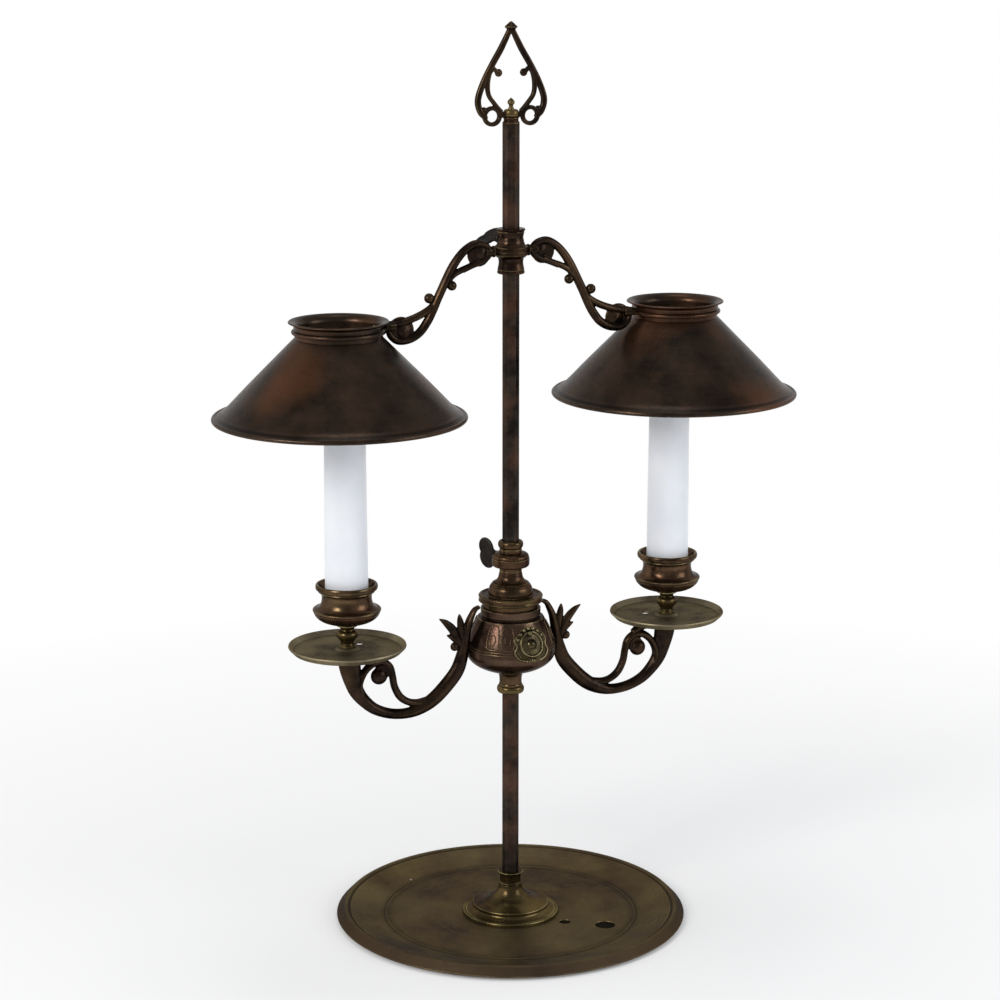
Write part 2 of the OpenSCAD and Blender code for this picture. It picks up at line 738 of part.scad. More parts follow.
// A point of the bracket from its shares of the span, the height, the bar's width and thickness;
// the first three in percent
function on_bracket(p) =
  let (x0 = collar_band_r, x1 = shade_reach - bead_r, z0 = neck_z - 10, z1 = shade_collar_z + 6.4)
  [x0 + (x1 - x0) * p[0] / 100, z0 + (z1 - z0) * p[1] / 100, bracket_w / 2 * p[2] / 100,
   p[3] * bracket_t];

// The main scroll, from its upper volute down to its lower one
BRACKET_SCROLL = [
  [29, 70, 54, 0.7], [20, 75, 67, 0.8], [11, 79, 75, 0.9], [5.5, 85, 79, 1], [6.5, 92, 79, 1],
  [12, 96, 79, 1], [19, 96, 88, 1], [27, 90.5, 92, 1], [33.5, 82.5, 96, 1],
  [39, 73, 100, 1], [44, 62, 100, 1], [48, 52.5, 100, 1], [52, 43, 100, 1],
  [56, 32.5, 100, 1], [61, 21.5, 100, 1], [68, 11, 98, 1], [77, 5, 96, 1], [87, 4, 90, 1],
  [93.5, 9, 80, 0.9], [96, 15, 65, 0.8]
];
// The short branches that close the two eyes
BRACKET_LOW_BRANCH = [
  [53, 41, 67, 0.7], [59, 34, 79, 0.8], [67, 28.5, 83, 0.9], [76, 24.5, 83, 0.9],
  [86, 21.5, 83, 0.9], [95, 20.5, 83, 0.9]
];
BRACKET_TOP_BRANCH = [
  [44, 58, 63, 0.7], [38, 66, 71, 0.8], [31, 70.5, 71, 0.8], [22, 74.5, 71, 0.8],
  [14, 79, 75, 0.8]
];
// The two balls on the main scroll: the bar's point beside each, its size, its direction
BRACKET_BALLS = [[45, 59.7, 108, 208], [52.8, 41, 112, 25]];

// A ball of the bracket, pressed against the bar at its point
function bracket_ball(b) =
  let (c = on_bracket([b[0], b[1], b[2], 1]), away = bracket_w / 2 + 0.75 * c[2])
  [c[0] + away * cos(b[3]), c[1] + away * sin(b[3]), c[2]];

module bracket() {
  eye_up = on_bracket([12.5, 87.5, 142, 1]);
  eye_low = on_bracket([82.5, 13.5, 167, 1]);
  shoulder_x = collar_band_r + fit_gap;
  pad_x = shade_reach - bead_r - run_gap;
  difference() {
    union() {
      cast() {
        bar([for (p = smooth(BRACKET_SCROLL, 3)) on_bracket(p)], 12);
        bar([for (p = smooth(BRACKET_LOW_BRANCH, 2)) on_bracket(p)], 8);
        bar([for (p = smooth(BRACKET_TOP_BRANCH, 2)) on_bracket(p)], 8);
        boss(eye_up, bracket_t);
        boss(eye_low, bracket_t);
        boss(on_bracket([14.5, 85.5, 267, 1]), bracket_t * 0.45);
        boss(on_bracket([85, 14, 308, 1]), bracket_t * 0.45);
        for (b = BRACKET_BALLS) ball(bracket_ball(b));
      }
      along_x(shoulder_x, shade_collar_z, bracket_shoulder_d / 2, eye_up[0] - shoulder_x);
      along_x(collar_bore + 1, shade_collar_z, bracket_pin_d / 2, eye_up[0] - collar_bore);
      translate([pad_x - 6, -rivet_gap / 2 - 1.7, bead_z + 0.2])
        cube([7, rivet_gap + 3.4, neck_bead_h + 1.8]);
    }
    translate([shade_reach, 0, bead_z - 5]) cylinder(r = bead_r + run_gap, h = 20);
    rivet_holes();
  }
}

// The holes of a bracket's two rivets, from the pad through the neck
module rivet_holes() {
  for (s = [-1, 1])
    translate([0, s * rivet_gap / 2, 0])
      along_x(shade_reach - bead_r - 3.2, rivet_z, rivet_d / 2 + fit_gap, neck_bead + neck_wall + 6);
}

module shade_bracket_left() {
  color(BRONZE) side(true) bracket();
}

module shade_bracket_right() {
  color(BRONZE) side(false) bracket();
}

// ---------------------------------------------------------------- shades

module neck() {
  bore = spigot_r - neck_wall;
  top = neck_z + neck_h;
  flare = spigot_r + neck_flare;
  difference() {
    translate([shade_reach, 0, 0])
      turned(concat(
        [[bore, bead_z - neck_spigot_h], [spigot_r, bead_z - neck_spigot_h], [spigot_r, bead_z],
         [bead_r - 0.8, bead_z]],
        arc(bead_r - 0.9, bead_z + neck_bead_h / 2, 0.9, neck_bead_h / 2, -70, 70, 5),
        [[groove_r, neck_z + 0.3], [groove_r, neck_z + neck_h * 0.45]],
        arc(flare - 0.3, top - 3.2, flare - groove_r - 0.3, 2.2, 180, 100, 4),
        [[flare, top - 0.8], [flare, top - 0.4], [flare - 0.5, top]],
        arc(flare - 0.5, neck_z + 0.5, flare - bore - 0.5, neck_h - 0.6, 105, 180, 5),
        [[bore, neck_z]]));
    rivet_holes();
  }
}

module shade_neck_left() {
  color(COPPER) side(true) neck();
}

module shade_neck_right() {
  color(COPPER) side(false) neck();
}

module cone() {
  inner = spigot_r + fit_gap;
  outer = inner + shade_sheet;
  roll = shade_roll_d / 2;
  edge = shade_d / 2 - roll;
  lip = [edge - shade_lip_w + roll, rim_z + roll + shade_lip_h];
  run = lip[0] - outer;
  fall = bead_z - 2 - lip[1];
  inset = shade_sheet / norm([run, fall]);
  translate([shade_reach, 0, 0]) {
    turned([[inner, bead_z], [outer, bead_z], [outer, bead_z - 2], lip,
            [edge, rim_z + roll + shade_sheet / 2], [edge, rim_z + roll - shade_sheet / 2],
            [lip[0] - inset * fall, lip[1] - inset * run], [inner, bead_z - 2.4]]);
    rotate_extrude() translate([edge, rim_z + roll]) circle(roll);
  }
}

module shade_cone_left() {
  color(COPPER) side(true) cone();
}

module shade_cone_right() {
  color(COPPER) side(false) cone();
}

module shade_rivets() {
  inside = spigot_r - neck_wall;
  tail = bead_r + 3;
  color(BRASS)
    for (left = [false, true], s = [-1, 1])
      side(left)
        translate([shade_reach, s * rivet_gap / 2, rivet_z]) {
          translate([-tail, 0, 0]) rotate([0, 90, 0]) cylinder(d = rivet_d, h = tail - inside + rivet_stand);
          translate([rivet_stand - inside, 0, 0])
            rotate([0, 90, 0]) cylinder(r1 = rivet_d, r2 = rivet_d * 0.55, h = 0.9);
        }
}

// ---------------------------------------------------------------- candle carrier

module candle_sleeve() {
  r = sleeve_bead_d / 2;
  z = collar2_top + run_gap;
  color(BRONZE)
    difference() {
      turned(concat([[0, sleeve_nut_z], [sleeve_r, sleeve_nut_z], [sleeve_r, z],
                     [r - 0.9, z], [r - 0.9, z + 0.6]],
        arc(r - 1.2, z + sleeve_bead_h / 2 + 0.3, 1.2, sleeve_bead_h / 2 - 0.3, -60, 75, 5),
        [[r - 1.4, z + sleeve_bead_h], [0, z + sleeve_bead_h]]));
      hexagon(sleeve_nut_z - 1, z + sleeve_bead_h - sleeve_nut_z + 2, run_gap);
      rotate(-thumb_dir / 2) split(sleeve_nut_z, z + sleeve_bead_h - sleeve_nut_z);
    }
}

module sleeve_nut() {
  r = sleeve_nut_d / 2;
  bore = sleeve_r + fit_gap;
  z = sleeve_nut_z;
  color(BRONZE)
    turned(concat([[bore, z], [r - 1.2, z]],
      arc(r - 1.2, z + sleeve_nut_h / 2, 1.2, sleeve_nut_h / 2, -80, 80, 6),
      [[r - 1.2, z + sleeve_nut_h], [bore, z + sleeve_nut_h]]));
}

module candle_collar() {
  neck = sleeve_bore + neck_ring_wall;
  r = band_d / 2;
  low = cap_top + (candle_collar_h - band_h) / 2;
  color(BRONZE)
    difference() {
      turned(concat([[sleeve_bore, cap_top], [neck, cap_top], [neck, low - 0.4]],
        arc(r - 1.6, low + 1.6, 1.6, 1.6, -80, 0, 4),
        [[r, low + band_h * 0.62], [r - 0.35, low + band_h * 0.66]],
        arc(r - 2.4, low + band_h - 2.1, 2.1, 2.1, 0, 80, 4),
        [[neck, low + band_h + 0.3], [neck, collar2_top], [sleeve_bore, collar2_top]]));
      thumb_hole(candle_thumb_z, sleeve_bore);
    }
}

module urn_cap() {
  r = cap_d / 2;
  neck = urn_mouth_d / 2 - 1;
  spigot = urn_mouth_d / 2 - urn_wall - fit_gap;
  throat = sleeve_bore + neck_ring_wall;
  rim_top = urn_top_z + cap_rim_h;
  flare_z = cap_top - 1.6;
  dome = cap_dome_d / 2;
  shoulder_r = dome - 1.4;
  shoulder_z = urn_top_z + cap_h * 0.55;
  color(BRONZE)
    difference() {
      turned(concat(
        [[sleeve_bore, urn_mouth_z - 3], [spigot, urn_mouth_z - 3], [spigot, urn_mouth_z],
         [neck, urn_mouth_z], [neck, urn_top_z], [r - 0.6, urn_top_z], [r, urn_top_z + 0.6],
         [r - 0.3, urn_top_z + cap_rim_h * 0.5], [r, rim_top - 0.6], [r - 0.5, rim_top],
         [r - 1.5, rim_top + 0.1], [r - 2.3, rim_top - 0.4], [dome + 0.8, rim_top - 0.4]],
        arc(shoulder_r, rim_top + 0.1, dome - shoulder_r, shoulder_z - rim_top - 0.5, 0, 80, 6),
        [[shoulder_r, shoulder_z], [shoulder_r - 0.5, shoulder_z + 0.6]],
        arc(shoulder_r - 0.2, flare_z, shoulder_r - throat - 0.5, flare_z - shoulder_z - 1, 260, 185, 6),
        [[throat, flare_z + 0.6], [throat, cap_top], [sleeve_bore, cap_top]]));
      translate([0, 0, urn_mouth_z - 4]) cylinder(r = dome - 2.2, h = 4 + cap_neck_h + cap_rim_h);
    }
}

// Outline of the urn's flank and bottom, moved in by the given amount
function urn_side(inset) =
  let (mouth = urn_mouth_d / 2, wide = urn_d / 2, h = urn_up - 1.5,
       shoulder = (urn_up - urn_ring_h - 1.2) / h)
  concat(
    [for (i = [0:10]) let (s = shoulder * (1 - i / 10))
      [mouth + (wide - mouth) * (1 - pow(s, 1.6)) - inset, urn_wide_z + h * s]],
    arc(0, urn_wide_z, wide - inset, urn_down - inset, -6, -68, 9));

module urn_body() {
  mouth = urn_mouth_d / 2;
  ring_z = urn_mouth_z - urn_ring_h;
  color(COPPER)
    difference() {
      turned(concat([[mouth - urn_wall, urn_mouth_z], [mouth + 0.2, urn_mouth_z],
                     [mouth + 0.6, urn_mouth_z - 0.5], [mouth + 0.6, ring_z + 0.5],
                     [mouth, ring_z], [mouth, ring_z - 0.7], [mouth + 0.7, ring_z - 1.1]],
        urn_side(0),
        [[tail_d / 2, urn_floor_z], [sleeve_bore, urn_floor_z],
         [sleeve_bore, urn_floor_z + urn_wall]],
        [for (i = [len(urn_side(urn_wall)) - 1:-1:1]) urn_side(urn_wall)[i]],
        [[mouth - urn_wall, ring_z - 1.6]]));
      for (left = [false, true])
        side(left) along_x(urn_d / 4, tenon_z, arm_tenon_d / 2 + fit_gap, urn_d);
    }
}

module urn_tail() {
  thin = sleeve_bore + neck_ring_wall;
  wide = tail_d / 2;
  color(BRONZE)
    turned(concat([[sleeve_bore, tail_z], [thin + 0.3, tail_z], [thin + 0.3, tail_z + 0.7],
                   [thin, tail_z + 1.2]],
      arc(wide, tail_z + tail_h * 0.42, wide - thin, tail_h * 0.5, 180, 95, 6),
      [[wide, urn_floor_z - 0.4], [wide, urn_floor_z], [sleeve_bore, urn_floor_z]]));
}

// A round ornament on the urn, facing along -Y
module ornament() {
  r = ornament_d / 2;
  z = urn_wide_z + ornament_up;
  face = urn_d / 2 + 0.6;
  difference() {
    union() {
      translate([0, 0, z]) rotate([90, 0, 0]) cylinder(r = r, h = face - 0.4);
      translate([0, 0.6 - face, z])
        rotate([90, 0, 0]) rotate_extrude() translate([r - 1.2, 0]) circle(1);
      translate([0, 0.4 - face, z + 2.4]) sphere(1.9);
    }
    turned(concat([[0, urn_mouth_z + 5], [urn_mouth_d / 2, urn_mouth_z + 5]], urn_side(-fit_gap),
      [[0, urn_wide_z - urn_down]]));
  }
}

module urn_ornament_front() {
  color(BRONZE) rotate(ornament_turn) ornament();
}

module urn_ornament_back() {
  color(BRONZE) rotate(180 + ornament_turn) ornament();
}

// ---------------------------------------------------------------- candle arms

// A point of the arm from its shares of the span, the height, the bar's width and thickness;
// the first three in percent
function on_arm(p) =
  let (x0 = urn_d / 2, x1 = candle_reach)
  [x0 + (x1 - x0) * p[0] / 100, arm_low_z + arm_rise * p[1] / 100, arm_w / 2 * p[2] / 100,
   p[3] * arm_t];

// The main scroll, from its hook at the cap's flange to the seat of the pan
ARM_SCROLL = [
  [-9, 140, 35, 0.5], [-5, 136.5, 48, 0.7], [-2, 128, 60, 0.85], [0.5, 118, 70, 0.95],
  [2.2, 105.5, 83, 1], [3.6, 92.5, 100, 1], [6, 75, 121, 1], [10.2, 56.5, 137, 1],
  [19, 38.5, 140, 1], [29, 23, 137, 1], [39.5, 12.8, 123, 1], [51, 7.3, 100, 1],
  [65, 9, 97, 1], [78, 17.5, 103, 1], [87, 30.5, 117, 1], [93, 44.5, 140, 1],
  [96, 60, 170, 1.05], [98, 76.5, 200, 1.15], [99.5, 94, 212, 1.35]
];
// The second scroll, which leaves the main one, curls round the ball and joins it again
ARM_CURL = [
  [31.5, 24, 60, 0.6], [42.5, 19.5, 73, 0.75], [51, 22.5, 67, 0.8], [57.7, 31, 70, 0.8],
  [62, 45, 67, 0.8], [63.7, 60, 67, 0.8], [66, 72.5, 70, 0.8], [72, 80, 70, 0.8],
  [79, 79, 70, 0.8], [85, 72, 67, 0.8], [89, 61.5, 63, 0.9], [90.7, 50.5, 60, 1],
  [89, 39.5, 53, 1], [84.7, 31, 40, 0.9]
];
// The bridge that joins the second scroll to the seat
ARM_BRIDGE = [[70, 83, 50, 0.7], [76, 89, 73, 0.8], [84, 91.5, 83, 0.9], [95, 92, 93, 1]];
// The three leaves
ARM_LEAVES = [
  [[7.7, 94, 60, 0.6], [12.8, 111, 83, 0.5], [19, 122.5, 63, 0.4], [24.7, 129, 13, 0.15]],
  [[5.2, 100, 60, 0.6], [6.7, 117, 73, 0.5], [7.6, 127, 50, 0.4], [8, 133, 13, 0.15]],
  [[7.4, 92, 53, 0.6], [11.8, 100, 63, 0.5], [15.6, 104, 43, 0.4], [18.5, 106, 13, 0.15]]
];

module arm() {
  difference() {
    union() {
      cast() {
        bar([for (p = smooth(ARM_SCROLL, 3)) on_arm(p)], 12);
        bar([for (p = smooth(ARM_CURL, 3)) on_arm(p)], 8);
        for (leaf = ARM_LEAVES) bar([for (p = smooth(leaf, 2)) on_arm(p)], 8);
        bar([for (p = ARM_BRIDGE) on_arm(p)], 8);
        ball(on_arm([74.6, 61.3, 153, 1]));
        boss(on_arm([72, 67, 150, 1]), arm_t * 0.55);
        ball(on_arm([11.9, 89.5, 80, 1]));
      }
      along_x(tenon_x, tenon_z, arm_tenon_d / 2, arm_tenon_in + urn_wall + 4);
      translate([candle_reach, 0, seat_z - 2.6])
        cylinder(d1 = arm_seat_d - 3, d2 = arm_seat_d, h = 2.6);
    }
    along_x(tenon_x - 1, tenon_z, arm_screw_d / 2 + fit_gap, arm_screw_grip + 1.4);
    translate([candle_reach, 0, seat_z - stud_grip])
      cylinder(d = stud_d + 2 * fit_gap, h = 2 * stud_grip);
  }
}

module candle_arm_left() {
  color(BRONZE) side(true) arm();
}

module candle_arm_right() {
  color(BRONZE) side(false) arm();
}

module arm_screws() {
  color(IRON)
    for (left = [false, true])
      side(left) {
        along_x(tenon_x - 1, tenon_z, arm_screw_d / 2, arm_screw_grip + 1);
        along_x(tenon_x - 2, tenon_z, arm_tenon_d * 0.62, 2);
      }
}

// ---------------------------------------------------------------- pans, cups and candles

module pan() {
  r = pan_d / 2;
  floor_r = r - pan_rim_w;
  bore = stud_d / 2 + fit_gap;
  boss = pan_boss_d / 2;
  z = seat_z;
  t = pan_sheet;
  difference() {
    translate([candle_reach, 0, 0])
      turned([[bore, z], [boss - 1, z], [floor_r, z], [r - 0.2, z + pan_h - 1.1], [r, z + pan_h - 0.7],
              [r - 0.2, z + pan_h], [r - 0.9, z + pan_h], [floor_r - 0.5, z + t],
              [boss, z + t], [boss - 1.4, z + t + pan_boss_h], [bore, z + t + pan_boss_h]]);
    translate([candle_reach - drain_x, drain_y, z - 1]) cylinder(d = drain_d, h = t + 2);
  }
}

module drip_pan_left() {
  color(BRASS) side(true) pan();
}

module drip_pan_right() {
  color(BRASS) side(false) pan();
}

module cup_stem() {
  bore = stud_d / 2 + fit_gap;
  bead = stem_bead_d / 2;
  foot = bead * 0.74;
  top = bead * 0.96;
  translate([candle_reach, 0, boss_z])
    turned(concat([[bore, 0], [foot, 0], [foot, 0.9], [foot - 0.6, 1.4], [foot - 0.9, 2.6]],
      arc(bead - 2.2, stem_h * 0.55, 2.2, stem_h * 0.2, -60, 80, 8),
      [[foot - 0.6, stem_h * 0.8], [foot - 0.3, stem_h - 1.6], [top, stem_h - 0.8],
       [top, stem_h], [bore, stem_h]]));
}

module cup_stem_left() {
  color(BRASS) side(true) cup_stem();
}

module cup_stem_right() {
  color(BRASS) side(false) cup_stem();
}

module stud() {
  low = seat_z - stud_grip;
  translate([candle_reach, 0, low]) cylinder(d = stud_d, h = socket_z - 2.2 - low);
}

module cup_stud_left() {
  color(IRON) side(true) stud();
}

module cup_stud_right() {
  color(IRON) side(false) stud();
}

module cup() {
  rim = cup_rim_d / 2;
  belly = cup_belly_d / 2;
  foot = stem_bead_d / 2;
  top = cup_z + cup_h;
  belly_z = cup_z + cup_h * 0.35;
  waist_z = cup_z + cup_h * 0.665;
  color(COPPER)
    difference() {
      translate([candle_reach, 0, 0])
        turned(concat(
          [[0, cup_z], [foot, cup_z], [foot + 0.6, cup_z + 0.5]],
          arc(foot + 0.6, belly_z, belly - foot - 1, belly_z - cup_z - 1, 280, 350, 4),
          arc(belly - 0.7, belly_z + 0.3, 0.7, 0.7, -60, 60, 4),
          arc(belly - 1.2, waist_z, belly - 1.2 - waist_r, waist_z - belly_z - 1, 265, 185, 6),
          arc(rim - 0.9, waist_z, rim - 0.9 - waist_r, top - 4 - waist_z, 175, 100, 4),
          [[rim - 1.6, top - 3.6], [rim - 1.6, top - 3.1]],
          arc(rim - 0.8, top - 1.6, 0.8, 1.5, -70, 70, 5),
          [[rim - 1, top], [rim - 1.5, top - 0.2], [socket_r + 0.2, waist_z + 2.4],
           [socket_r, waist_z + 1], [socket_r, socket_z], [0, socket_z]]));
      translate([candle_reach, 0, cup_z - 1])
        cylinder(d = stud_d + 2 * fit_gap, h = socket_z - cup_z - 1);
    }
}

module candle_cup_left() {
  side(true) cup();
}

module candle_cup_right() {
  side(false) cup();
}

module candle() {
  r = candle_d / 2;
  top = candle_top_d / 2;
  hole = wick_d / 2 + fit_gap;
  translate([candle_reach, 0, 0])
    turned([[0, socket_z], [r - 0.6, socket_z], [r, socket_z + 0.6], [top, candle_top - 1.6],
            [top - 0.5, candle_top - 0.5], [top - 1.8, candle_top], [hole + 1.2, candle_top - 1.4],
            [hole, candle_top - 1.4], [hole, candle_top - wick_in], [0, candle_top - wick_in]]);
}

module candle_left() {
  color(WAX) side(true) candle();
}

module candle_right() {
  color(WAX) side(false) candle();
}

module wick() {
  translate([candle_reach, 0, candle_top - wick_in]) cylinder(d = wick_d, h = wick_in + wick_up);
}

module wick_left() {
  color(COTTON) side(true) wick();
}

module wick_right() {
  color(COTTON) side(false) wick();
}

// ---------------------------------------------------------------- the lamp

base_plate();
foot_ring();
foot_flare();
base_washer();
base_nut();
stem_rod();
finial_ferrule();
finial_frame();
finial_screw();
shade_bush();
shade_bush_nut();
shade_collar();
shade_thumb_screw();
shade_bracket_left();
shade_bracket_right();
shade_neck_left();
shade_neck_right();
shade_cone_left();
shade_cone_right();
shade_rivets();
candle_sleeve();
sleeve_nut();
candle_collar();
candle_thumb_screw();
urn_cap();
urn_body();
urn_tail();
urn_ornament_front();
urn_ornament_back();
candle_arm_left();
candle_arm_right();
arm_screws();
drip_pan_left();
drip_pan_right();
cup_stem_left();
cup_stem_right();
cup_stud_left();
cup_stud_right();
candle_cup_left();
candle_cup_right();
candle_left();
candle_right();
wick_left();
wick_right();
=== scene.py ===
"""Finishes, finer metalwork, light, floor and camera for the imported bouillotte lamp."""

import logging
import math
from dataclasses import dataclass
from enum import Enum
from typing import Mapping, Sequence

import bpy
import numpy as np
from mathutils import Matrix, Vector


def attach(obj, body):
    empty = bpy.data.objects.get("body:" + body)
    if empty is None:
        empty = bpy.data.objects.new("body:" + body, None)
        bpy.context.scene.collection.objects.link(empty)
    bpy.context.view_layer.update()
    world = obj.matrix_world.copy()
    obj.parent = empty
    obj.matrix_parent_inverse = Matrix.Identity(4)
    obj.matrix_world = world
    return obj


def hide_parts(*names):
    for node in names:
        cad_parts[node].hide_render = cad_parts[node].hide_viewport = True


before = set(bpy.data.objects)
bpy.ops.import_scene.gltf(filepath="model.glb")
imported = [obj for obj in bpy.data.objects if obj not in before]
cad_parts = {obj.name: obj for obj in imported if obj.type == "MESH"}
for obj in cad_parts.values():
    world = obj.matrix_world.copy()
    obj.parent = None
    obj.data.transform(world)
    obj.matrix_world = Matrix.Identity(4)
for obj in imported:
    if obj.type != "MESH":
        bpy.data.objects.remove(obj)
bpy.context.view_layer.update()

log = logging.getLogger("lamp")

MM = 0.001
ALONG = np.array([0.0, 1.0, 0.0])
UP = np.array([0.0, 0.0, 1.0])
Colour = tuple[float, float, float]
Outline = list[tuple[float, float]]


class Side(Enum):
    """The two sides of the lamp, with the sign of their X."""

    LEFT = -1
    RIGHT = 1

    def label(self) -> str:
        """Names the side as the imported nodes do."""
        return self.name.lower()


class Slot(Enum):
    """The record's material slots."""

    BRASS = "old_brass"
    BRONZE = "bronze"
    COPPER = "red_copper"
    IRON = "dark_iron"
    STEEL = "grey_steel"
    BRIGHT = "bright_brass"
    WAX = "wax"
    COTTON = "cotton"


# ---------------------------------------------------------------- shader graphs


class Signal:
    """A number that varies over a surface. Sums and products of signals add Math nodes."""

    def __init__(self, graph: "Graph", socket: bpy.types.NodeSocket) -> None:
        """Wraps a socket.

        Args:
            graph: The graph that the socket is in.
            socket: An output that carries one number.
        """
        self.graph = graph
        self.socket = socket

    def _with(self, operation: str, *terms: object) -> "Signal":
        """Adds one Math node.

        Args:
            operation: The node's operation.
            terms: Its inputs in order, as signals or numbers.

        Returns:
            The node's result.
        """
        node = self.graph.node("ShaderNodeMath", {"operation": operation}, dict(enumerate(terms)))
        return Signal(self.graph, node.outputs[0])

    def __add__(self, other: object) -> "Signal":
        """Adds a signal or a number."""
        return self._with("ADD", self, other)

    def __radd__(self, other: object) -> "Signal":
        """Adds this signal to a number."""
        return self._with("ADD", other, self)

    def __sub__(self, other: object) -> "Signal":
        """Takes a signal or a number away."""
        return self._with("SUBTRACT", self, other)

    def __rsub__(self, other: object) -> "Signal":
        """Takes this signal away from a number."""
        return self._with("SUBTRACT", other, self)

    def __mul__(self, other: object) -> "Signal":
        """Multiplies by a signal or a number."""
        return self._with("MULTIPLY", self, other)

    def __rmul__(self, other: object) -> "Signal":
        """Multiplies a number by this signal."""
        return self._with("MULTIPLY", other, self)

    def __pow__(self, other: object) -> "Signal":
        """Raises this signal to a power."""
        return self._with("POWER", self, other)

    def __abs__(self) -> "Signal":
        """Drops the sign."""
        return self._with("ABSOLUTE", self)

    def between(self, low: float, high: float) -> "Signal":
        """Stretches the signal so that low becomes 0 and high becomes 1, and clamps it.

        Args:
            low: The value that becomes 0.
            high: The value that becomes 1.

        Returns:
            The stretched signal.
        """
        node = self.graph.node(
            "ShaderNodeMapRange", {"clamp": True}, {"Value": self, "From Min": low, "From Max": high}
        )
        return Signal(self.graph, node.outputs[0])


class Graph:
    """The node tree of one material or of the world."""

    def __init__(self, tree: bpy.types.NodeTree) -> None:
        """Empties a tree and takes it over."""
        self.tree = tree
        tree.nodes.clear()

    def node(
        self,
        kind: str,
        settings: Mapping[str, object] | None = None,
        sockets: Mapping[object, object] | None = None,
    ) -> bpy.types.Node:
        """Adds a node.

        Args:
            kind: The node's type.
            settings: Its properties, set first.
            sockets: Values or links for its inputs, by name or place.

        Returns:
            The new node.
        """
        node = self.tree.nodes.new(kind)
        for key, value in (settings or {}).items():
            setattr(node, key, value)
        for key, value in (sockets or {}).items():
            self.feed(node.inputs[key], value)
        return node

    def feed(self, target: bpy.types.NodeSocket, value: object) -> None:
        """Sets an input or links it.

        Args:
            target: The input.
            value: A signal, an output, a number, a colour or a vector.
        """
        if isinstance(value, Signal):
            self.tree.links.new(value.socket, target)
        elif isinstance(value, bpy.types.NodeSocket):
            self.tree.links.new(value, target)
        elif isinstance(value, tuple) and target.type == "RGBA":
            target.default_value = (*value, 1.0)
        else:
            target.default_value = value

    def noise(self, place: bpy.types.NodeSocket, scale: float, detail: float = 3.0, rough: float = 0.55) -> Signal:
        """Adds a noise texture.

        Args:
            place: The coordinates.
            scale: Waves in a metre.
            detail: Octaves.
            rough: Weight of the finer octaves.

        Returns:
            The noise, about 0.5 in the middle.
        """
        node = self.node(
            "ShaderNodeTexNoise", {}, {"Vector": place, "Scale": scale, "Detail": detail, "Roughness": rough}
        )
        return Signal(self, node.outputs["Fac"])

    def blend(self, share: object, under: object, over: object) -> bpy.types.NodeSocket:
        """Mixes two colours.

        Args:
            share: How much of the upper colour shows.
            under: The lower colour.
            over: The upper colour.

        Returns:
            The mixed colour.
        """
        node = self.node("ShaderNodeMix", {"data_type": "RGBA"}, {0: share, 6: under, 7: over})
        return node.outputs[2]

    def bump(self, height: Signal, depth: float, strength: float) -> bpy.types.NodeSocket:
        """Adds a bump.

        Args:
            height: The height, from 0 to 1.
            depth: The height of 1, in metres.
            strength: The share of it that shows.

        Returns:
            The bent normal.
        """
        node = self.node("ShaderNodeBump", {}, {"Height": height, "Distance": depth, "Strength": strength})
        return node.outputs["Normal"]

    def close(self, shader: bpy.types.NodeSocket, kind: str = "ShaderNodeOutputMaterial") -> None:
        """Links a shader to the tree's output, which is of the given kind."""
        self.node(kind, {}, {"Surface": shader})

    def coordinates(self) -> bpy.types.NodeSocket:
        """Gives each point's place in its object, in metres."""
        return self.node("ShaderNodeTexCoord").outputs["Object"]


def blank(name: str) -> tuple[bpy.types.Material, Graph]:
    """Makes a material with an empty graph.

    Args:
        name: Its name.

    Returns:
        The material and its graph.
    """
    made = bpy.data.materials.new(name)
    made.use_nodes = True
    return made, Graph(made.node_tree)


def faded(colour: Colour, share: float) -> Colour:
    """Gives a darker colour, each part of it a share of the given one."""
    return tuple(share * part for part in colour)


# ---------------------------------------------------------------- finishes

DRIFT = 0.31  # drifts for each cloud
PIT_DEPTH = 0.00014
SKIRT_BLUR = 0.0008
DUST = (0.62, 0.6, 0.56)


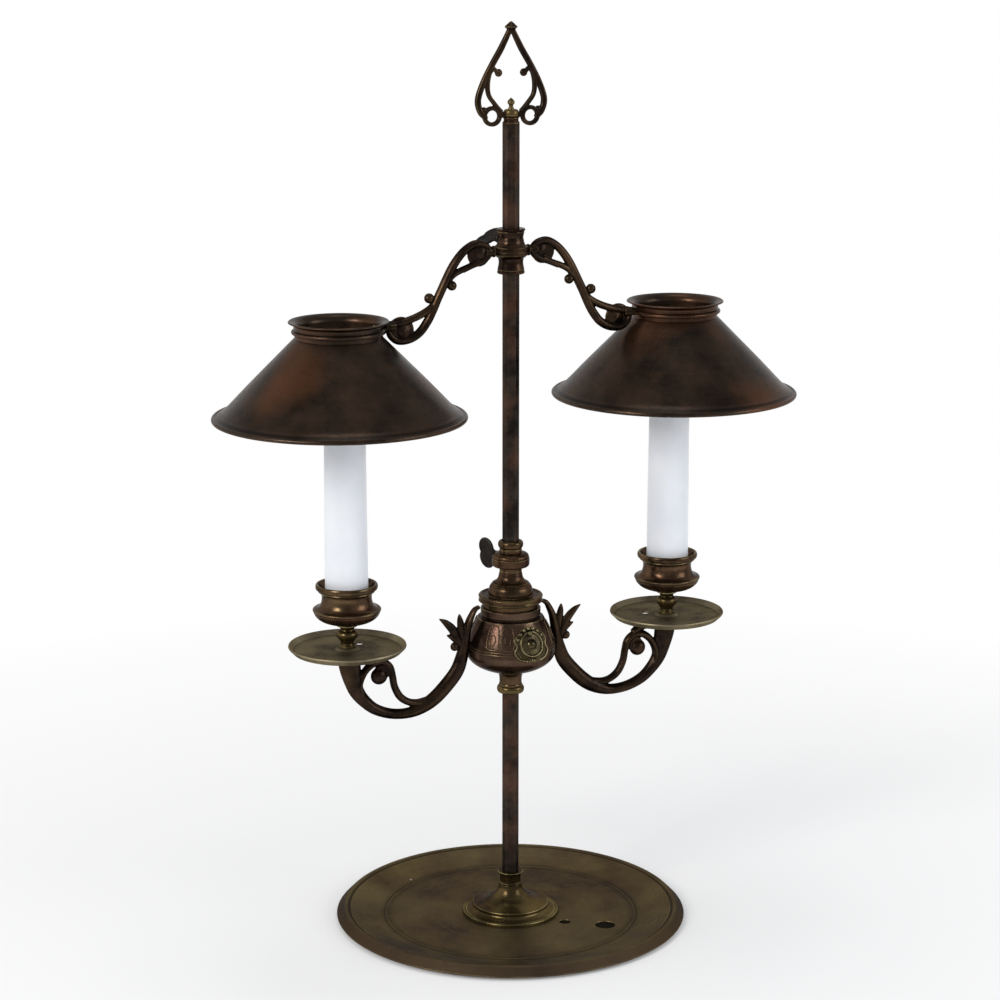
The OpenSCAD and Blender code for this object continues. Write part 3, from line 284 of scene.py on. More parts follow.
@dataclass(frozen=True)
class Patina:
    """Old metal: clouds of two tones, flecks, rubbed edges, and hollow corners darkened as grime and painted shade.

    Attributes:
        name: The material's name.
        slot: The record's slot that it stands for.
        deep: Colour of the dark clouds and flecks.
        body: Colour of most of the surface.
        light: Colour of the light drifts.
        bare: Colour of rubbed edges.
        rough_low: Roughness where it is smoothest.
        rough_high: Roughness where it is roughest.
        metal: Share of metal.
        cloud: Clouds in a metre.
        fleck: Flecks in a metre.
        light_share: How much of the light colour shows in a drift.
        rub: How much of the bare colour shows on an edge.
        pits: Height of the flecks in the bump.
        rings_at: X of the axis that the piece was turned about, or None where it wasn't turned.
        ring_share: How much of the light colour shows in the turned rings.
        edge: Brightness of the metal seen at a grazing angle.
        dust: How much of the pale specks shows.
        skirt_at: Radius in metres from which the piece has its skirt's colour, or 0.
        skirt: Colour of the skirt.
        painted_shade_rings: Rings of painted shade along creases and steps and round a stem's foot, each with its
            radius and half width in metres and its share.
    """

    name: str
    slot: Slot
    deep: Colour
    body: Colour
    light: Colour
    bare: Colour
    rough_low: float = 0.3
    rough_high: float = 0.5
    metal: float = 0.85
    cloud: float = 60.0
    fleck: float = 900.0
    light_share: float = 0.5
    rub: float = 0.6
    pits: float = 0.5
    rings_at: float | None = None
    ring_share: float = 0.0
    edge: float = 0.45
    dust: float = 0.0
    skirt_at: float = 0.0
    skirt: Colour = (0.0, 0.0, 0.0)
    painted_shade_rings: tuple[tuple[float, float, float], ...] = ()

    def material(self) -> bpy.types.Material:
        """Builds the finish.

        Returns:
            A material with its own nodes.
        """
        made, graph = blank(self.name)
        place = graph.coordinates()
        cloud = graph.noise(place, self.cloud, 4.0, 0.6)
        drift = graph.noise(place, self.cloud * DRIFT, 3.0, 0.5)
        fleck = graph.noise(place, self.fleck, 3.0, 0.6)
        worn = Signal(graph, graph.node("ShaderNodeAttribute", {"attribute_name": "wear"}).outputs["Fac"])
        tone = graph.blend(cloud.between(0.36, 0.64), self.deep, self.body)
        tone = graph.blend(drift.between(0.48, 0.68) * self.light_share, tone, self.light)
        tone = graph.blend(fleck.between(0.58, 0.74) * 0.55, tone, self.deep)
        height = fleck * self.pits + cloud * 0.6
        if self.rings_at is not None:
            ring = self._rings(graph, place)
            tone = graph.blend(ring.between(0.52, 0.72) * self.ring_share, tone, self.light)
            height = height + ring * 0.35
        if self.skirt_at:
            outer = self._radius(graph, place).between(self.skirt_at - SKIRT_BLUR, self.skirt_at + SKIRT_BLUR)
            tone = graph.blend(outer * 0.7, tone, self.skirt)
        # Rings along creases and steps and round a stem's foot are darkened: painted shade.
        for at, half, share in self.painted_shade_rings:
            ring = abs(self._radius(graph, place) - at).between(half, half * 0.3)
            tone = graph.blend(ring * share, tone, faded(self.deep, 0.4))
        wiped = graph.noise(place, 75.0, 2.0, 0.5).between(0.4, 0.62) * 0.8 + 0.2
        tone = graph.blend(worn.between(0.05, 0.9) * wiped * self.rub, tone, self.bare)
        # Hollow corners, where the wear is below 0, are darkened: partly grime, partly painted shade.
        tone = graph.blend((worn * -1.0).between(0.05, 0.9) * 0.65, tone, faded(self.deep, 0.35))
        if self.dust:
            tone = graph.blend(self._specks(graph, place) * self.dust, tone, DUST)
        rough = self.rough_low + (self.rough_high - self.rough_low) * (fleck * 0.5 + cloud * 0.5).between(0.35, 0.65)
        shader = graph.node(
            "ShaderNodeBsdfPrincipled",
            {},
            {
                "Base Color": tone,
                "Metallic": self.metal,
                "Roughness": rough,
                "Specular Tint": (self.edge, self.edge, self.edge),
                "Normal": graph.bump(height, PIT_DEPTH, 0.6),
            },
        )
        graph.close(shader.outputs[0])
        return made

    def _specks(self, graph: Graph, place: bpy.types.NodeSocket) -> Signal:
        """Scatters a few pale specks.

        Args:
            graph: The material's graph.
            place: The coordinates.

        Returns:
            One on a speck and zero beside it.
        """
        cells = graph.node("ShaderNodeTexVoronoi", {}, {"Vector": place, "Scale": 85.0})
        pick = graph.node("ShaderNodeSeparateColor", {}, {"Color": cells.outputs["Color"]})
        near = Signal(graph, cells.outputs["Distance"]).between(0.075, 0.04)
        return near * Signal(graph, pick.outputs[0]).between(0.955, 0.965)

    def _radius(self, graph: Graph, place: bpy.types.NodeSocket) -> Signal:
        """Measures the distance from the upright axis on either side.

        Args:
            graph: The material's graph.
            place: The coordinates.

        Returns:
            The distance in metres.
        """
        parts = graph.node("ShaderNodeSeparateXYZ", {}, {0: place})
        across = abs(Signal(graph, parts.outputs[0])) - (self.rings_at or 0.0)
        along = Signal(graph, parts.outputs[1])
        return (across * across + along * along) ** 0.5

    def _rings(self, graph: Graph, place: bpy.types.NodeSocket) -> Signal:
        """Adds the fine rings that turning leaves.

        Args:
            graph: The material's graph.
            place: The coordinates.

        Returns:
            The rings' height.
        """
        parts = graph.node("ShaderNodeSeparateXYZ", {}, {0: place})
        spread = graph.node("ShaderNodeCombineXYZ", {}, {0: self._radius(graph, place), 1: parts.outputs[2], 2: 0.0})
        return graph.noise(spread.outputs[0], 620.0, 4.0, 0.7)


@dataclass(frozen=True)
class Wax:
    """Smooth candle wax that lets a little light in."""

    name: str = "Candle_wax"
    slot: Slot = Slot.WAX

    def material(self) -> bpy.types.Material:
        """Builds the wax.

        Returns:
            A material with its own nodes.
        """
        made, graph = blank(self.name)
        place = graph.coordinates()
        cloud = graph.noise(place, 45.0, 3.0)
        fine = graph.noise(place, 600.0, 2.0)
        tone = graph.blend(cloud.between(0.3, 0.7), (0.76, 0.785, 0.83), (0.82, 0.84, 0.88))
        shader = graph.node(
            "ShaderNodeBsdfPrincipled",
            {},
            {
                "Base Color": tone,
                "Roughness": 0.34 + 0.12 * fine,
                "Subsurface Weight": 0.25,
                "Subsurface Radius": (0.006, 0.005, 0.004),
                "Subsurface Scale": 0.6,
                "Normal": graph.bump(cloud + fine * 0.2, 0.0002, 0.25),
            },
        )
        graph.close(shader.outputs[0])
        return made


@dataclass(frozen=True)
class Cotton:
    """A braided wick, waxed and a little scorched."""

    name: str = "Wick_cotton"
    slot: Slot = Slot.COTTON

    def material(self) -> bpy.types.Material:
        """Builds the cotton.

        Returns:
            A material with its own nodes.
        """
        made, graph = blank(self.name)
        place = graph.coordinates()
        strand = graph.noise(place, 1800.0, 2.0)
        tone = graph.blend(strand.between(0.35, 0.65), (0.42, 0.38, 0.31), (0.66, 0.62, 0.54))
        shader = graph.node(
            "ShaderNodeBsdfPrincipled",
            {},
            {"Base Color": tone, "Roughness": 0.8, "Normal": graph.bump(strand, 0.0002, 0.6)},
        )
        graph.close(shader.outputs[0])
        return made


BRONZE = Patina(
    "Dark_bronze", Slot.BRONZE, (0.01, 0.007, 0.005), (0.036, 0.021, 0.014), (0.105, 0.062, 0.03),
    (0.22, 0.16, 0.08), 0.22, 0.4, cloud=110.0, rub=0.35, light_share=0.5, edge=0.35,
)
RUBBED_BRONZE = Patina(
    "Rubbed_bronze", Slot.BRONZE, (0.022, 0.012, 0.009), (0.082, 0.042, 0.025), (0.17, 0.12, 0.045),
    (0.36, 0.28, 0.12), 0.18, 0.34, cloud=90.0, rub=0.4, light_share=0.4, rings_at=0.0, ring_share=0.2, edge=0.4,
)
RELIEF_BRASS = Patina(
    "Relief_brass", Slot.BRASS, (0.022, 0.016, 0.009), (0.09, 0.07, 0.034), (0.16, 0.13, 0.06),
    (0.5, 0.42, 0.21), 0.18, 0.34, cloud=160.0, rub=0.8, light_share=0.5, edge=0.4,
)
URN_COPPER = Patina(
    "Urn_copper", Slot.COPPER, (0.018, 0.01, 0.008), (0.07, 0.037, 0.026), (0.15, 0.095, 0.06),
    (0.32, 0.25, 0.12), 0.16, 0.32, cloud=100.0, rub=0.4, light_share=0.5, edge=0.4,
)
SHADE_COPPER = Patina(
    "Shade_copper", Slot.COPPER, (0.023, 0.016, 0.011), (0.056, 0.035, 0.023), (0.14, 0.056, 0.025),
    (0.2, 0.15, 0.11), 0.24, 0.38, cloud=50.0, fleck=420.0, light_share=0.7, rub=0.2, rings_at=0.0955,
    ring_share=0.12, edge=0.6, dust=0.35, painted_shade_rings=((0.0633, 0.0013, 0.7),),
)
CUP_COPPER = Patina(
    "Cup_copper", Slot.COPPER, (0.026, 0.015, 0.009), (0.108, 0.058, 0.032), (0.16, 0.115, 0.055),
    (0.45, 0.37, 0.18), 0.17, 0.32, cloud=100.0, rub=0.6, light_share=0.45, rings_at=0.093, ring_share=0.25, edge=0.45,
)
PAN_BRASS = Patina(
    "Pan_brass", Slot.BRASS, (0.155, 0.125, 0.08), (0.28, 0.235, 0.15), (0.35, 0.3, 0.19),
    (0.38, 0.32, 0.19), 0.38, 0.5, cloud=80.0, rub=0.25, rings_at=0.093, ring_share=0.25, edge=0.14,
    painted_shade_rings=((0.006, 0.014, 0.3),),
)
BASE_BRASS = Patina(
    "Base_brass", Slot.BRASS, (0.094, 0.065, 0.04), (0.16, 0.12, 0.058), (0.2, 0.162, 0.086),
    (0.34, 0.28, 0.15), 0.38, 0.52, cloud=34.0, fleck=500.0, rub=0.2, light_share=0.6, rings_at=0.0,
    ring_share=0.3, edge=0.1, dust=0.8, skirt_at=0.0915, skirt=(0.06, 0.038, 0.026),
    painted_shade_rings=((0.0682, 0.0045, 0.32), (0.0893, 0.0012, 0.5)),
)
FOOT_BRASS = Patina(
    "Foot_brass", Slot.BRASS, (0.048, 0.033, 0.014), (0.122, 0.083, 0.034), (0.2, 0.15, 0.062),
    (0.42, 0.36, 0.17), 0.22, 0.36, cloud=60.0, rub=0.6, rings_at=0.0, ring_share=0.3, edge=0.3, pits=0.3,
)
ROD_IRON = Patina(
    "Stem_iron", Slot.IRON, (0.012, 0.009, 0.008), (0.042, 0.028, 0.02), (0.12, 0.052, 0.03),
    (0.14, 0.12, 0.1), 0.28, 0.5, cloud=150.0, light_share=0.75, rub=0.3, pits=1.8, fleck=520.0, edge=0.4,
)
WING_STEEL = Patina(
    "Wing_steel", Slot.STEEL, (0.011, 0.009, 0.008), (0.028, 0.022, 0.019), (0.06, 0.048, 0.04),
    (0.16, 0.14, 0.12), 0.3, 0.5, cloud=200.0, rub=0.4, edge=0.5,
)
HIDDEN_STEEL = Patina(
    "Screw_steel", Slot.STEEL, (0.08, 0.075, 0.07), (0.2, 0.19, 0.175), (0.3, 0.29, 0.27),
    (0.42, 0.4, 0.37), 0.3, 0.5, rub=0.6,
)
RIVET_BRASS = Patina(
    "Rivet_brass", Slot.BRIGHT, (0.2, 0.13, 0.05), (0.42, 0.3, 0.13), (0.52, 0.4, 0.2),
    (0.6, 0.48, 0.28), 0.22, 0.36, rub=0.5,
)
WAX = Wax()
COTTON = Cotton()
Finish = Patina | Wax | Cotton


class Rack:
    """Keeps one material for each finish."""

    made: dict[str, bpy.types.Material] = {}

    @classmethod
    def take(cls, finish: Finish) -> bpy.types.Material:
        """Gives a finish's material, built when first asked for.

        Args:
            finish: The finish.

        Returns:
            Its material.
        """
        if finish.name not in cls.made:
            cls.made[finish.name] = finish.material()
        return cls.made[finish.name]


# ---------------------------------------------------------------- shapes, in millimetres

RUNNING = 0.06  # clearance round what turns or slides
SEATED = 0.04  # clearance round what is seated
ON_AXIS = 1e-6  # a point as near the axis as this lies on it
SAME_SPOT = 1e-4  # points as near each other as this are one
SMOOTH_TURN = 14.0  # degrees; an outline that turns less has no corner there
FULL_TURN = 60.0  # degrees; a corner that turns as much is fully worn
CORNER_STEPS = 4  # faces across a rounding
CORNER_SHARE = 0.42  # most of a run that a rounding may take
LONG_RUN = 1.4  # a run this long is held flat beside its corners
HOLD = 0.22  # how far from the corner it is held
LEVEL = 0.9999  # a face whose normal is as upright as this stays flat


def arc(x: float, z: float, rx: float, rz: float, start: float, stop: float, steps: int) -> Outline:
    """Gives points of an elliptical arc.

    Args:
        x: Middle, across.
        z: Middle, up.
        rx: Half width.
        rz: Half height.
        start: First angle, in degrees.
        stop: Last angle.
        steps: Number of steps.

    Returns:
        steps + 1 points.
    """
    turns = [math.radians(start + (stop - start) * i / steps) for i in range(steps + 1)]
    return [(x + rx * math.cos(t), z + rz * math.sin(t)) for t in turns]


def smooth(points: Sequence[Sequence[float]], steps: int) -> np.ndarray:
    """Draws a smooth curve through points.

    Args:
        points: The points, with any number of values each.
        steps: Steps between each two.

    Returns:
        The curve's points, one in each row.
    """
    p = np.asarray(points, float)
    last = len(p) - 1
    rows = []
    for i in range(last):
        a, b, c, d = p[max(i - 1, 0)], p[i], p[i + 1], p[min(i + 2, last)]
        for k in range(steps):
            u = k / steps
            rows.append(
                0.5 * (2 * b + (c - a) * u + (2 * a - 5 * b + 4 * c - d) * u * u + (3 * b - a - 3 * c + d) * u**3)
            )
    rows.append(p[last])
    return np.array(rows)


@dataclass
class Shell:
    """A closed surface with the wear on each of its points."""

    points: np.ndarray
    faces: list[tuple[int, ...]]
    wear: np.ndarray

    def outward(self) -> "Shell":
        """Turns the faces so that they look outwards.

        Returns:
            The same shell.
        """
        p = self.points
        total = 0.0
        for face in self.faces:
            for k in range(1, len(face) - 1):
                total += float(np.dot(p[face[0]], np.cross(p[face[k]], p[face[k + 1]])))
        if total < 0:
            self.faces = [face[::-1] for face in self.faces]
        return self

    def placed(self, matrix: Matrix) -> "Shell":
        """Gives a copy moved by a matrix, in millimetres.

        Args:
            matrix: The matrix.

        Returns:
            The copy.
        """
        m = np.array(matrix)
        points = self.points @ m[:3, :3].T + m[:3, 3]
        faces = self.faces if np.linalg.det(m[:3, :3]) > 0 else [face[::-1] for face in self.faces]
        return Shell(points, list(faces), self.wear.copy())

    def on(self, side: Side) -> "Shell":
        """Gives a copy on one side of the lamp, from a shell made for the right."""
        return self.placed(Matrix.Diagonal((side.value, 1, 1, 1)))


def joined(shells: Sequence[Shell]) -> Shell:
    """Puts shells together as one.

    Args:
        shells: The shells.

    Returns:
        One shell with all their faces.
    """
    faces: list[tuple[int, ...]] = []
    start = 0
    for shell in shells:
        faces += [tuple(i + start for i in face) for face in shell.faces]
        start += len(shell.points)
    return Shell(np.vstack([s.points for s in shells]), faces, np.concatenate([s.wear for s in shells]))


def eased(outline: Outline, radius: float) -> list[tuple[float, float, float]]:
    """Rounds the corners of a closed outline and holds its straight runs flat.

    Args:
        outline: Points across and up, all round the solid.
        radius: Radius of the rounding.

    Returns:
        Points with the wear of each: above 0 on corners that stand out, below 0 in hollow ones.
    """
    p = [np.array(q, float) for q in outline]
    p = [q for i, q in enumerate(p) if np.linalg.norm(q - p[i - 1]) > SAME_SPOT]
    n = len(p)
    area = sum(p[i - 1][0] * p[i][1] - p[i][0] * p[i - 1][1] for i in range(n))
    out: list[tuple[float, float, float]] = []
    for i in range(n):
        a, b, c = p[i - 1], p[i], p[(i + 1) % n]
        before, after = b - a, c - b
        la, lc = float(np.linalg.norm(before)), float(np.linalg.norm(after))
        ua, uc = before / la, after / lc
        turn = math.degrees(math.atan2(ua[0] * uc[1] - ua[1] * uc[0], float(ua @ uc)))
        if b[0] < ON_AXIS or abs(turn) < SMOOTH_TURN:
            out.append((b[0], b[1], 0.0))
            continue
        reach = min(radius * math.tan(math.radians(abs(turn)) / 2), CORNER_SHARE * la, CORNER_SHARE * lc)
        start, stop = b - ua * reach, b + uc * reach
        wear = math.copysign(min(1.0, abs(turn) / FULL_TURN), turn * area)
        if la > LONG_RUN:
            q = start - ua * HOLD
            out.append((q[0], q[1], 0.0))
        for k in range(CORNER_STEPS + 1):
            u = k / CORNER_STEPS
            q = (1 - u) ** 2 * start + 2 * u * (1 - u) * b + u * u * stop
            out.append((q[0], q[1], wear))
        if lc > LONG_RUN:
            q = stop + uc * HOLD
            out.append((q[0], q[1], 0.0))
    return out


def turned(outline: Outline, radius: float = 0.25, segments: int = 144, about: float = 0.0) -> Shell:
    """Turns an outline about an upright axis.

    Args:
        outline: Points from the axis and up, all round the solid.
        radius: Rounding of its corners.
        segments: Steps round the axis.
        about: X of the axis.

    Returns:
        The turned shell.
    """
    rows = eased(outline, radius)
    points: list[tuple[float, float, float]] = []
    wear: list[float] = []
    first: list[int] = []
    turns = [2 * math.pi * k / segments for k in range(segments)]
    for r, z, w in rows:
        first.append(len(points))
        ring = [(0.0, 0.0, z)] if r < ON_AXIS else [(r * math.cos(t), r * math.sin(t), z) for t in turns]
        points += ring
        wear += [w] * len(ring)
    faces: list[tuple[int, ...]] = []
    for i, (r, _, _) in enumerate(rows):
        j = (i + 1) % len(rows)
        a, b, tip_a, tip_b = first[i], first[j], r < ON_AXIS, rows[j][0] < ON_AXIS
        if tip_a and tip_b:
            continue
        for k in range(segments):
            m = (k + 1) % segments
            if tip_a:
                faces.append((a, b + m, b + k))
            elif tip_b:
                faces.append((a + k, a + m, b))
            else:
                faces.append((a + k, a + m, b + m, b + k))
    shell = Shell(np.array(points), faces, np.array(wear)).outward()
    shell.points[:, 0] += about
    return shell


def swept(
    path: np.ndarray, face: np.ndarray, half: np.ndarray, sides: int = 16, ridge: float = 1.0, looped: bool = False
) -> Shell:
    """Sweeps a rounded section along a path.

    Args:
        path: Points of the path.
        face: The direction in which the section's second half size points, for each point or for all.
        half: Half width and half thickness at each point.
        sides: Points round the section.
        ridge: 1 for an ellipse, more for a section with a ridge on its faces, less for a squarer one.
        looped: Whether the path closes on itself.

    Returns:
        The swept shell.
    """
    n = len(path)
    face = np.broadcast_to(face, path.shape)
    if looped:
        tangent = np.roll(path, -1, 0) - np.roll(path, 1, 0)
    else:
        tangent = np.gradient(path, axis=0)
    tangent /= np.linalg.norm(tangent, axis=1)[:, None]
    wide = np.cross(face, tangent)
    wide /= np.linalg.norm(wide, axis=1)[:, None]
    deep = np.cross(tangent, wide)
    points = []
    for k in range(sides):
        t = 2 * math.pi * k / sides
        c = math.copysign(abs(math.cos(t)) ** min(ridge, 1.0), math.cos(t))
        s = math.copysign(abs(math.sin(t)) ** ridge, math.sin(t))
        points.append(path + wide * (half[:, :1] * c) + deep * (half[:, 1:2] * s))
    grid = np.stack(points, 1).reshape(-1, 3)
    faces: list[tuple[int, ...]] = []
    for i in range(n if looped else n - 1):
        j = (i + 1) % n
        for k in range(sides):
            m = (k + 1) % sides
            faces.append((i * sides + k, j * sides + k, j * sides + m, i * sides + m))
    if not looped:
        faces.append(tuple(range(sides - 1, -1, -1)))
        faces.append(tuple((n - 1) * sides + k for k in range(sides)))
    return Shell(grid, faces, np.zeros(len(grid))).outward()


def ball(x: float, y: float, z: float, rx: float, ry: float, rz: float) -> Shell:
    """Makes a rounded lump.

    Args:
        x: Middle, across.
        y: Middle, along.
        z: Middle, up.
        rx: Half size across.
        ry: Half size along.
        rz: Half size up.

    Returns:
        The lump.
    """
    shell = turned(arc(0, 0, 1, 1, -90, 90, 16), 0.0, 28)
    return shell.placed(Matrix.Translation((x, y, z)) @ Matrix.Diagonal((rx, ry, rz, 1)))


def lying(shell: Shell, x: float, z: float) -> Shell:
    """Lays an upright shell along X, with its foot at x and z."""
    return shell.placed(Matrix.Translation((x, 0, z)) @ Matrix.Rotation(math.pi / 2, 4, "Y"))


def disc(x: float, z: float, radius: float, half: float, crown: float = 0.5) -> Shell:
    """Makes a disc across the plane of the arms, with crowned faces.

    Args:
        x: Middle, across.
        z: Middle, up.
        radius: Its radius.
        half: Half its thickness at the middle.
        crown: Thickness of its edge as a share of the middle's.

    Returns:
        The disc.
    """
    edge = half * crown
    outline = [(0.0, -half), *arc(radius * 0.75, 0, radius * 0.25, edge, -80, 80, 8), (0.0, half)]
    return turned(outline, 0.3, 48).placed(Matrix.Translation((x, 0, z)) @ Matrix.Rotation(math.pi / 2, 4, "X"))


def put(name: str, data: bpy.types.ID) -> bpy.types.Object:
    """Makes an object and links it to the scene.

    Args:
        name: Its name.
        data: Its mesh, light or camera.

    Returns:
        The object.
    """
    obj = bpy.data.objects.new(name, data)
    bpy.context.scene.collection.objects.link(obj)
    return obj


def mesh_of(name: str, shell: Shell) -> bpy.types.Mesh:
    """Makes a Blender mesh in metres, with the wear as an attribute.

    Args:
        name: Its name.
        shell: Its surface.

    Returns:
        The mesh.
    """
    mesh = bpy.data.meshes.new(name)
    mesh.from_pydata((shell.points * MM).tolist(), [], shell.faces)
    mesh.validate()
    layer = mesh.attributes.new("wear", "FLOAT", "POINT")
    layer.data.foreach_set("value", shell.wear.astype(np.float32))
    mesh.shade_smooth()
    for face in mesh.polygons:
        if abs(face.normal.z) > LEVEL:
            face.use_smooth = False
    return mesh


def shell_of(mesh: bpy.types.Mesh) -> Shell:
    """Reads a Blender mesh back, in millimetres.

    Args:
        mesh: The mesh.

    Returns:
        Its shell, with no wear.
    """
    points = np.empty(len(mesh.vertices) * 3, np.float32)
    mesh.vertices.foreach_get("co", points)
    faces = [tuple(p.vertices) for p in mesh.polygons]
    return Shell(points.reshape(-1, 3).astype(float) / MM, faces, np.zeros(len(mesh.vertices)))


def applied(obj: bpy.types.Object) -> bpy.types.Mesh:
    """Gives an object's mesh with its modifiers applied, and drops the object.

    Args:
        obj: The object.

    Returns:
        The mesh.
    """
    bpy.context.view_layer.update()
    mesh = bpy.data.meshes.new_from_object(obj.evaluated_get(bpy.context.evaluated_depsgraph_get()))
    bpy.data.objects.remove(obj)
    return mesh


def cast(shells: Sequence[Shell], grain: float = 0.3, passes: int = 6, sharp: float = 0.9) -> Shell:
    """Melts shells into one casting, with soft inner corners and worn outer ones.

    Args:
        shells: The shells, which overlap.
        grain: Size of the new faces.
        passes: Passes of smoothing.
        sharp: Curvature at which wear is full, in 1/mm.

    Returns:
        The casting.
    """
    obj = put("melt", mesh_of("melt", joined(shells)))
    remesh = obj.modifiers.new("melt", "REMESH")
    remesh.mode = "VOXEL"
    remesh.voxel_size = grain * MM
    ease = obj.modifiers.new("ease", "SMOOTH")
    ease.factor = 0.5
    ease.iterations = passes
    mesh = applied(obj)
    shell = shell_of(mesh)
    normals = np.empty(len(mesh.vertices) * 3, np.float32)
    mesh.vertices.foreach_get("normal", normals)
    normals = normals.reshape(-1, 3)
    edges = np.empty(len(mesh.edges) * 2, np.int32)
    mesh.edges.foreach_get("vertices", edges)
    a, b = edges.reshape(-1, 2).T
    step = shell.points[a] - shell.points[b]
    square = np.maximum((step**2).sum(1), 1e-9)
    bend = np.zeros(len(shell.points))
    count = np.zeros(len(shell.points))
    for at, sign in ((a, 1.0), (b, -1.0)):
        np.add.at(bend, at, 2 * sign * (step * normals[at]).sum(1) / square)
        np.add.at(count, at, 1)
    bend /= np.maximum(count, 1)
    for _ in range(3):
        total = bend.copy()
        np.add.at(total, a, bend[b])
        np.add.at(total, b, bend[a])
        bend = total / (count + 1)
    proud = np.clip((bend - 0.25 * sharp) / (0.75 * sharp), 0, 1)
    shell.wear = np.where(bend > 0, proud, np.clip(bend / (0.6 * sharp), -1, 0))
    bpy.data.meshes.remove(mesh)
    return shell


def bored(shell: Shell, holes: Sequence[tuple[float, float, float]], low: float, high: float) -> Shell:
    """Cuts round upright holes.

    Args:
        shell: The shell to cut.
        holes: X, Y and radius of each.
        low: Lower end of the cut.
        high: Upper end.

    Returns:
        The cut shell.
    """
    obj = put("bored", mesh_of("bored", shell))
    drills = []
    for x, y, r in holes:
        drill = turned([(0, low), (r, low), (r, high), (0, high)], 0.0, 64)
        drill = drill.placed(Matrix.Translation((x, y, 0)))
        tool = put("drill", mesh_of("drill", drill))
        cut = obj.modifiers.new("cut", "BOOLEAN")
        cut.operation = "DIFFERENCE"
        cut.solver = "EXACT"
        cut.object = tool
        drills.append(tool)
    mesh = applied(obj)
    for tool in drills:
        bpy.data.objects.remove(tool)
    out = shell_of(mesh)
    wear = np.empty(len(mesh.vertices), np.float32)
    mesh.attributes["wear"].data.foreach_get("value", wear)
    out.wear = wear.astype(float)
    bpy.data.meshes.remove(mesh)
    return out


def piece(name: str, shell: Shell, finish: Finish, body: str, *nodes: str) -> bpy.types.Object:
    """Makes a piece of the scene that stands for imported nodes.

    Args:
        name: Its name.
        shell: Its surface.
        finish: Its finish.
        body: The body it rides on.
        nodes: The nodes it replaces.

    Returns:
        The piece.
    """
    obj = put(name, mesh_of(name, shell))
    obj.data.materials.append(Rack.take(finish))
    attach(obj, body)
    if nodes:
        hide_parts(*nodes)
    log.info("%s: %d points", name, len(obj.data.vertices))
    return obj


def dress(node: str, finish: Finish) -> None:
    """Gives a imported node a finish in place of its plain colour.

    Args:
        node: The node.
        finish: Its finish.
    """
    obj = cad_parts[node]
    for slot in obj.material_slots:
        slot.material = Rack.take(finish)
    log.info("%s: dressed as packed", node)


# ---------------------------------------------------------------- the stand


@dataclass
class Base:
    """The dished base of sheet brass. Each hole has its X, its Y and its radius."""

    edge: float = 96.0
    crest: float = 91.0
    floor: float = 69.5
    rim_top: float = 6.6
    lift: float = 1.5
    sheet: float = 1.2
    dome: float = 15.0
    dome_up: float = 3.0
    bore: float = 3.04
    wide_hole: tuple[float, float, float] = (40.4, -38.6, 5.6)
    pin_hole: tuple[float, float, float] = (21.6, -26.3, 3.3)

    def slope(self, drop: float) -> Outline:
        """Gives the rise from the floor to the crest, lowered by drop.

        Args:
            drop: How much lower the rise lies.

        Returns:
            Points outwards and up.
        """
        end, rise = self.crest - 2.6, self.rim_top - 1 - self.sheet
        return [
            (self.floor + (end - self.floor) * i / 16, self.sheet - drop + rise * (i / 16) ** 1.3) for i in range(17)
        ]

    def outline(self) -> Outline:
        """Gives the section of the base.

        Returns:
            Points from the axis and up, all round the solid.
        """
        top = self.sheet + self.dome_up
        over = [
            (self.bore, top), (self.dome, top), (self.dome + self.dome_up, self.sheet),
            (self.floor - 1.6, self.sheet), (self.floor - 1.1, self.sheet + 0.35),
            (self.floor - 0.5, self.sheet + 0.35),
            *self.slope(0), (self.crest - 2.1, self.rim_top - 1.3),
            *arc(self.crest, self.rim_top - 1.2, 1.4, 1.2, 150, 50, 6),
            (self.edge, self.lift + 0.7), (self.edge - 0.5, self.lift),
        ]
        under = [
            (self.edge - 1.5, self.lift), (self.crest - 0.3, self.rim_top - 2.2), *self.slope(self.sheet)[::-1],
            (self.dome + self.dome_up - 1.2, 0), (self.dome - 1.2, self.dome_up), (self.bore, self.dome_up),
        ]
        return over + under

    def build(self) -> None:
        """Makes the base and dresses what is under it."""
        shell = bored(turned(self.outline(), 0.35, 192), [self.wide_hole, self.pin_hole], -1, 3)
        piece("base_dish", shell, BASE_BRASS, "stand", "base_plate")
        dress("base_washer", FOOT_BRASS)
        dress("base_nut", ROD_IRON)


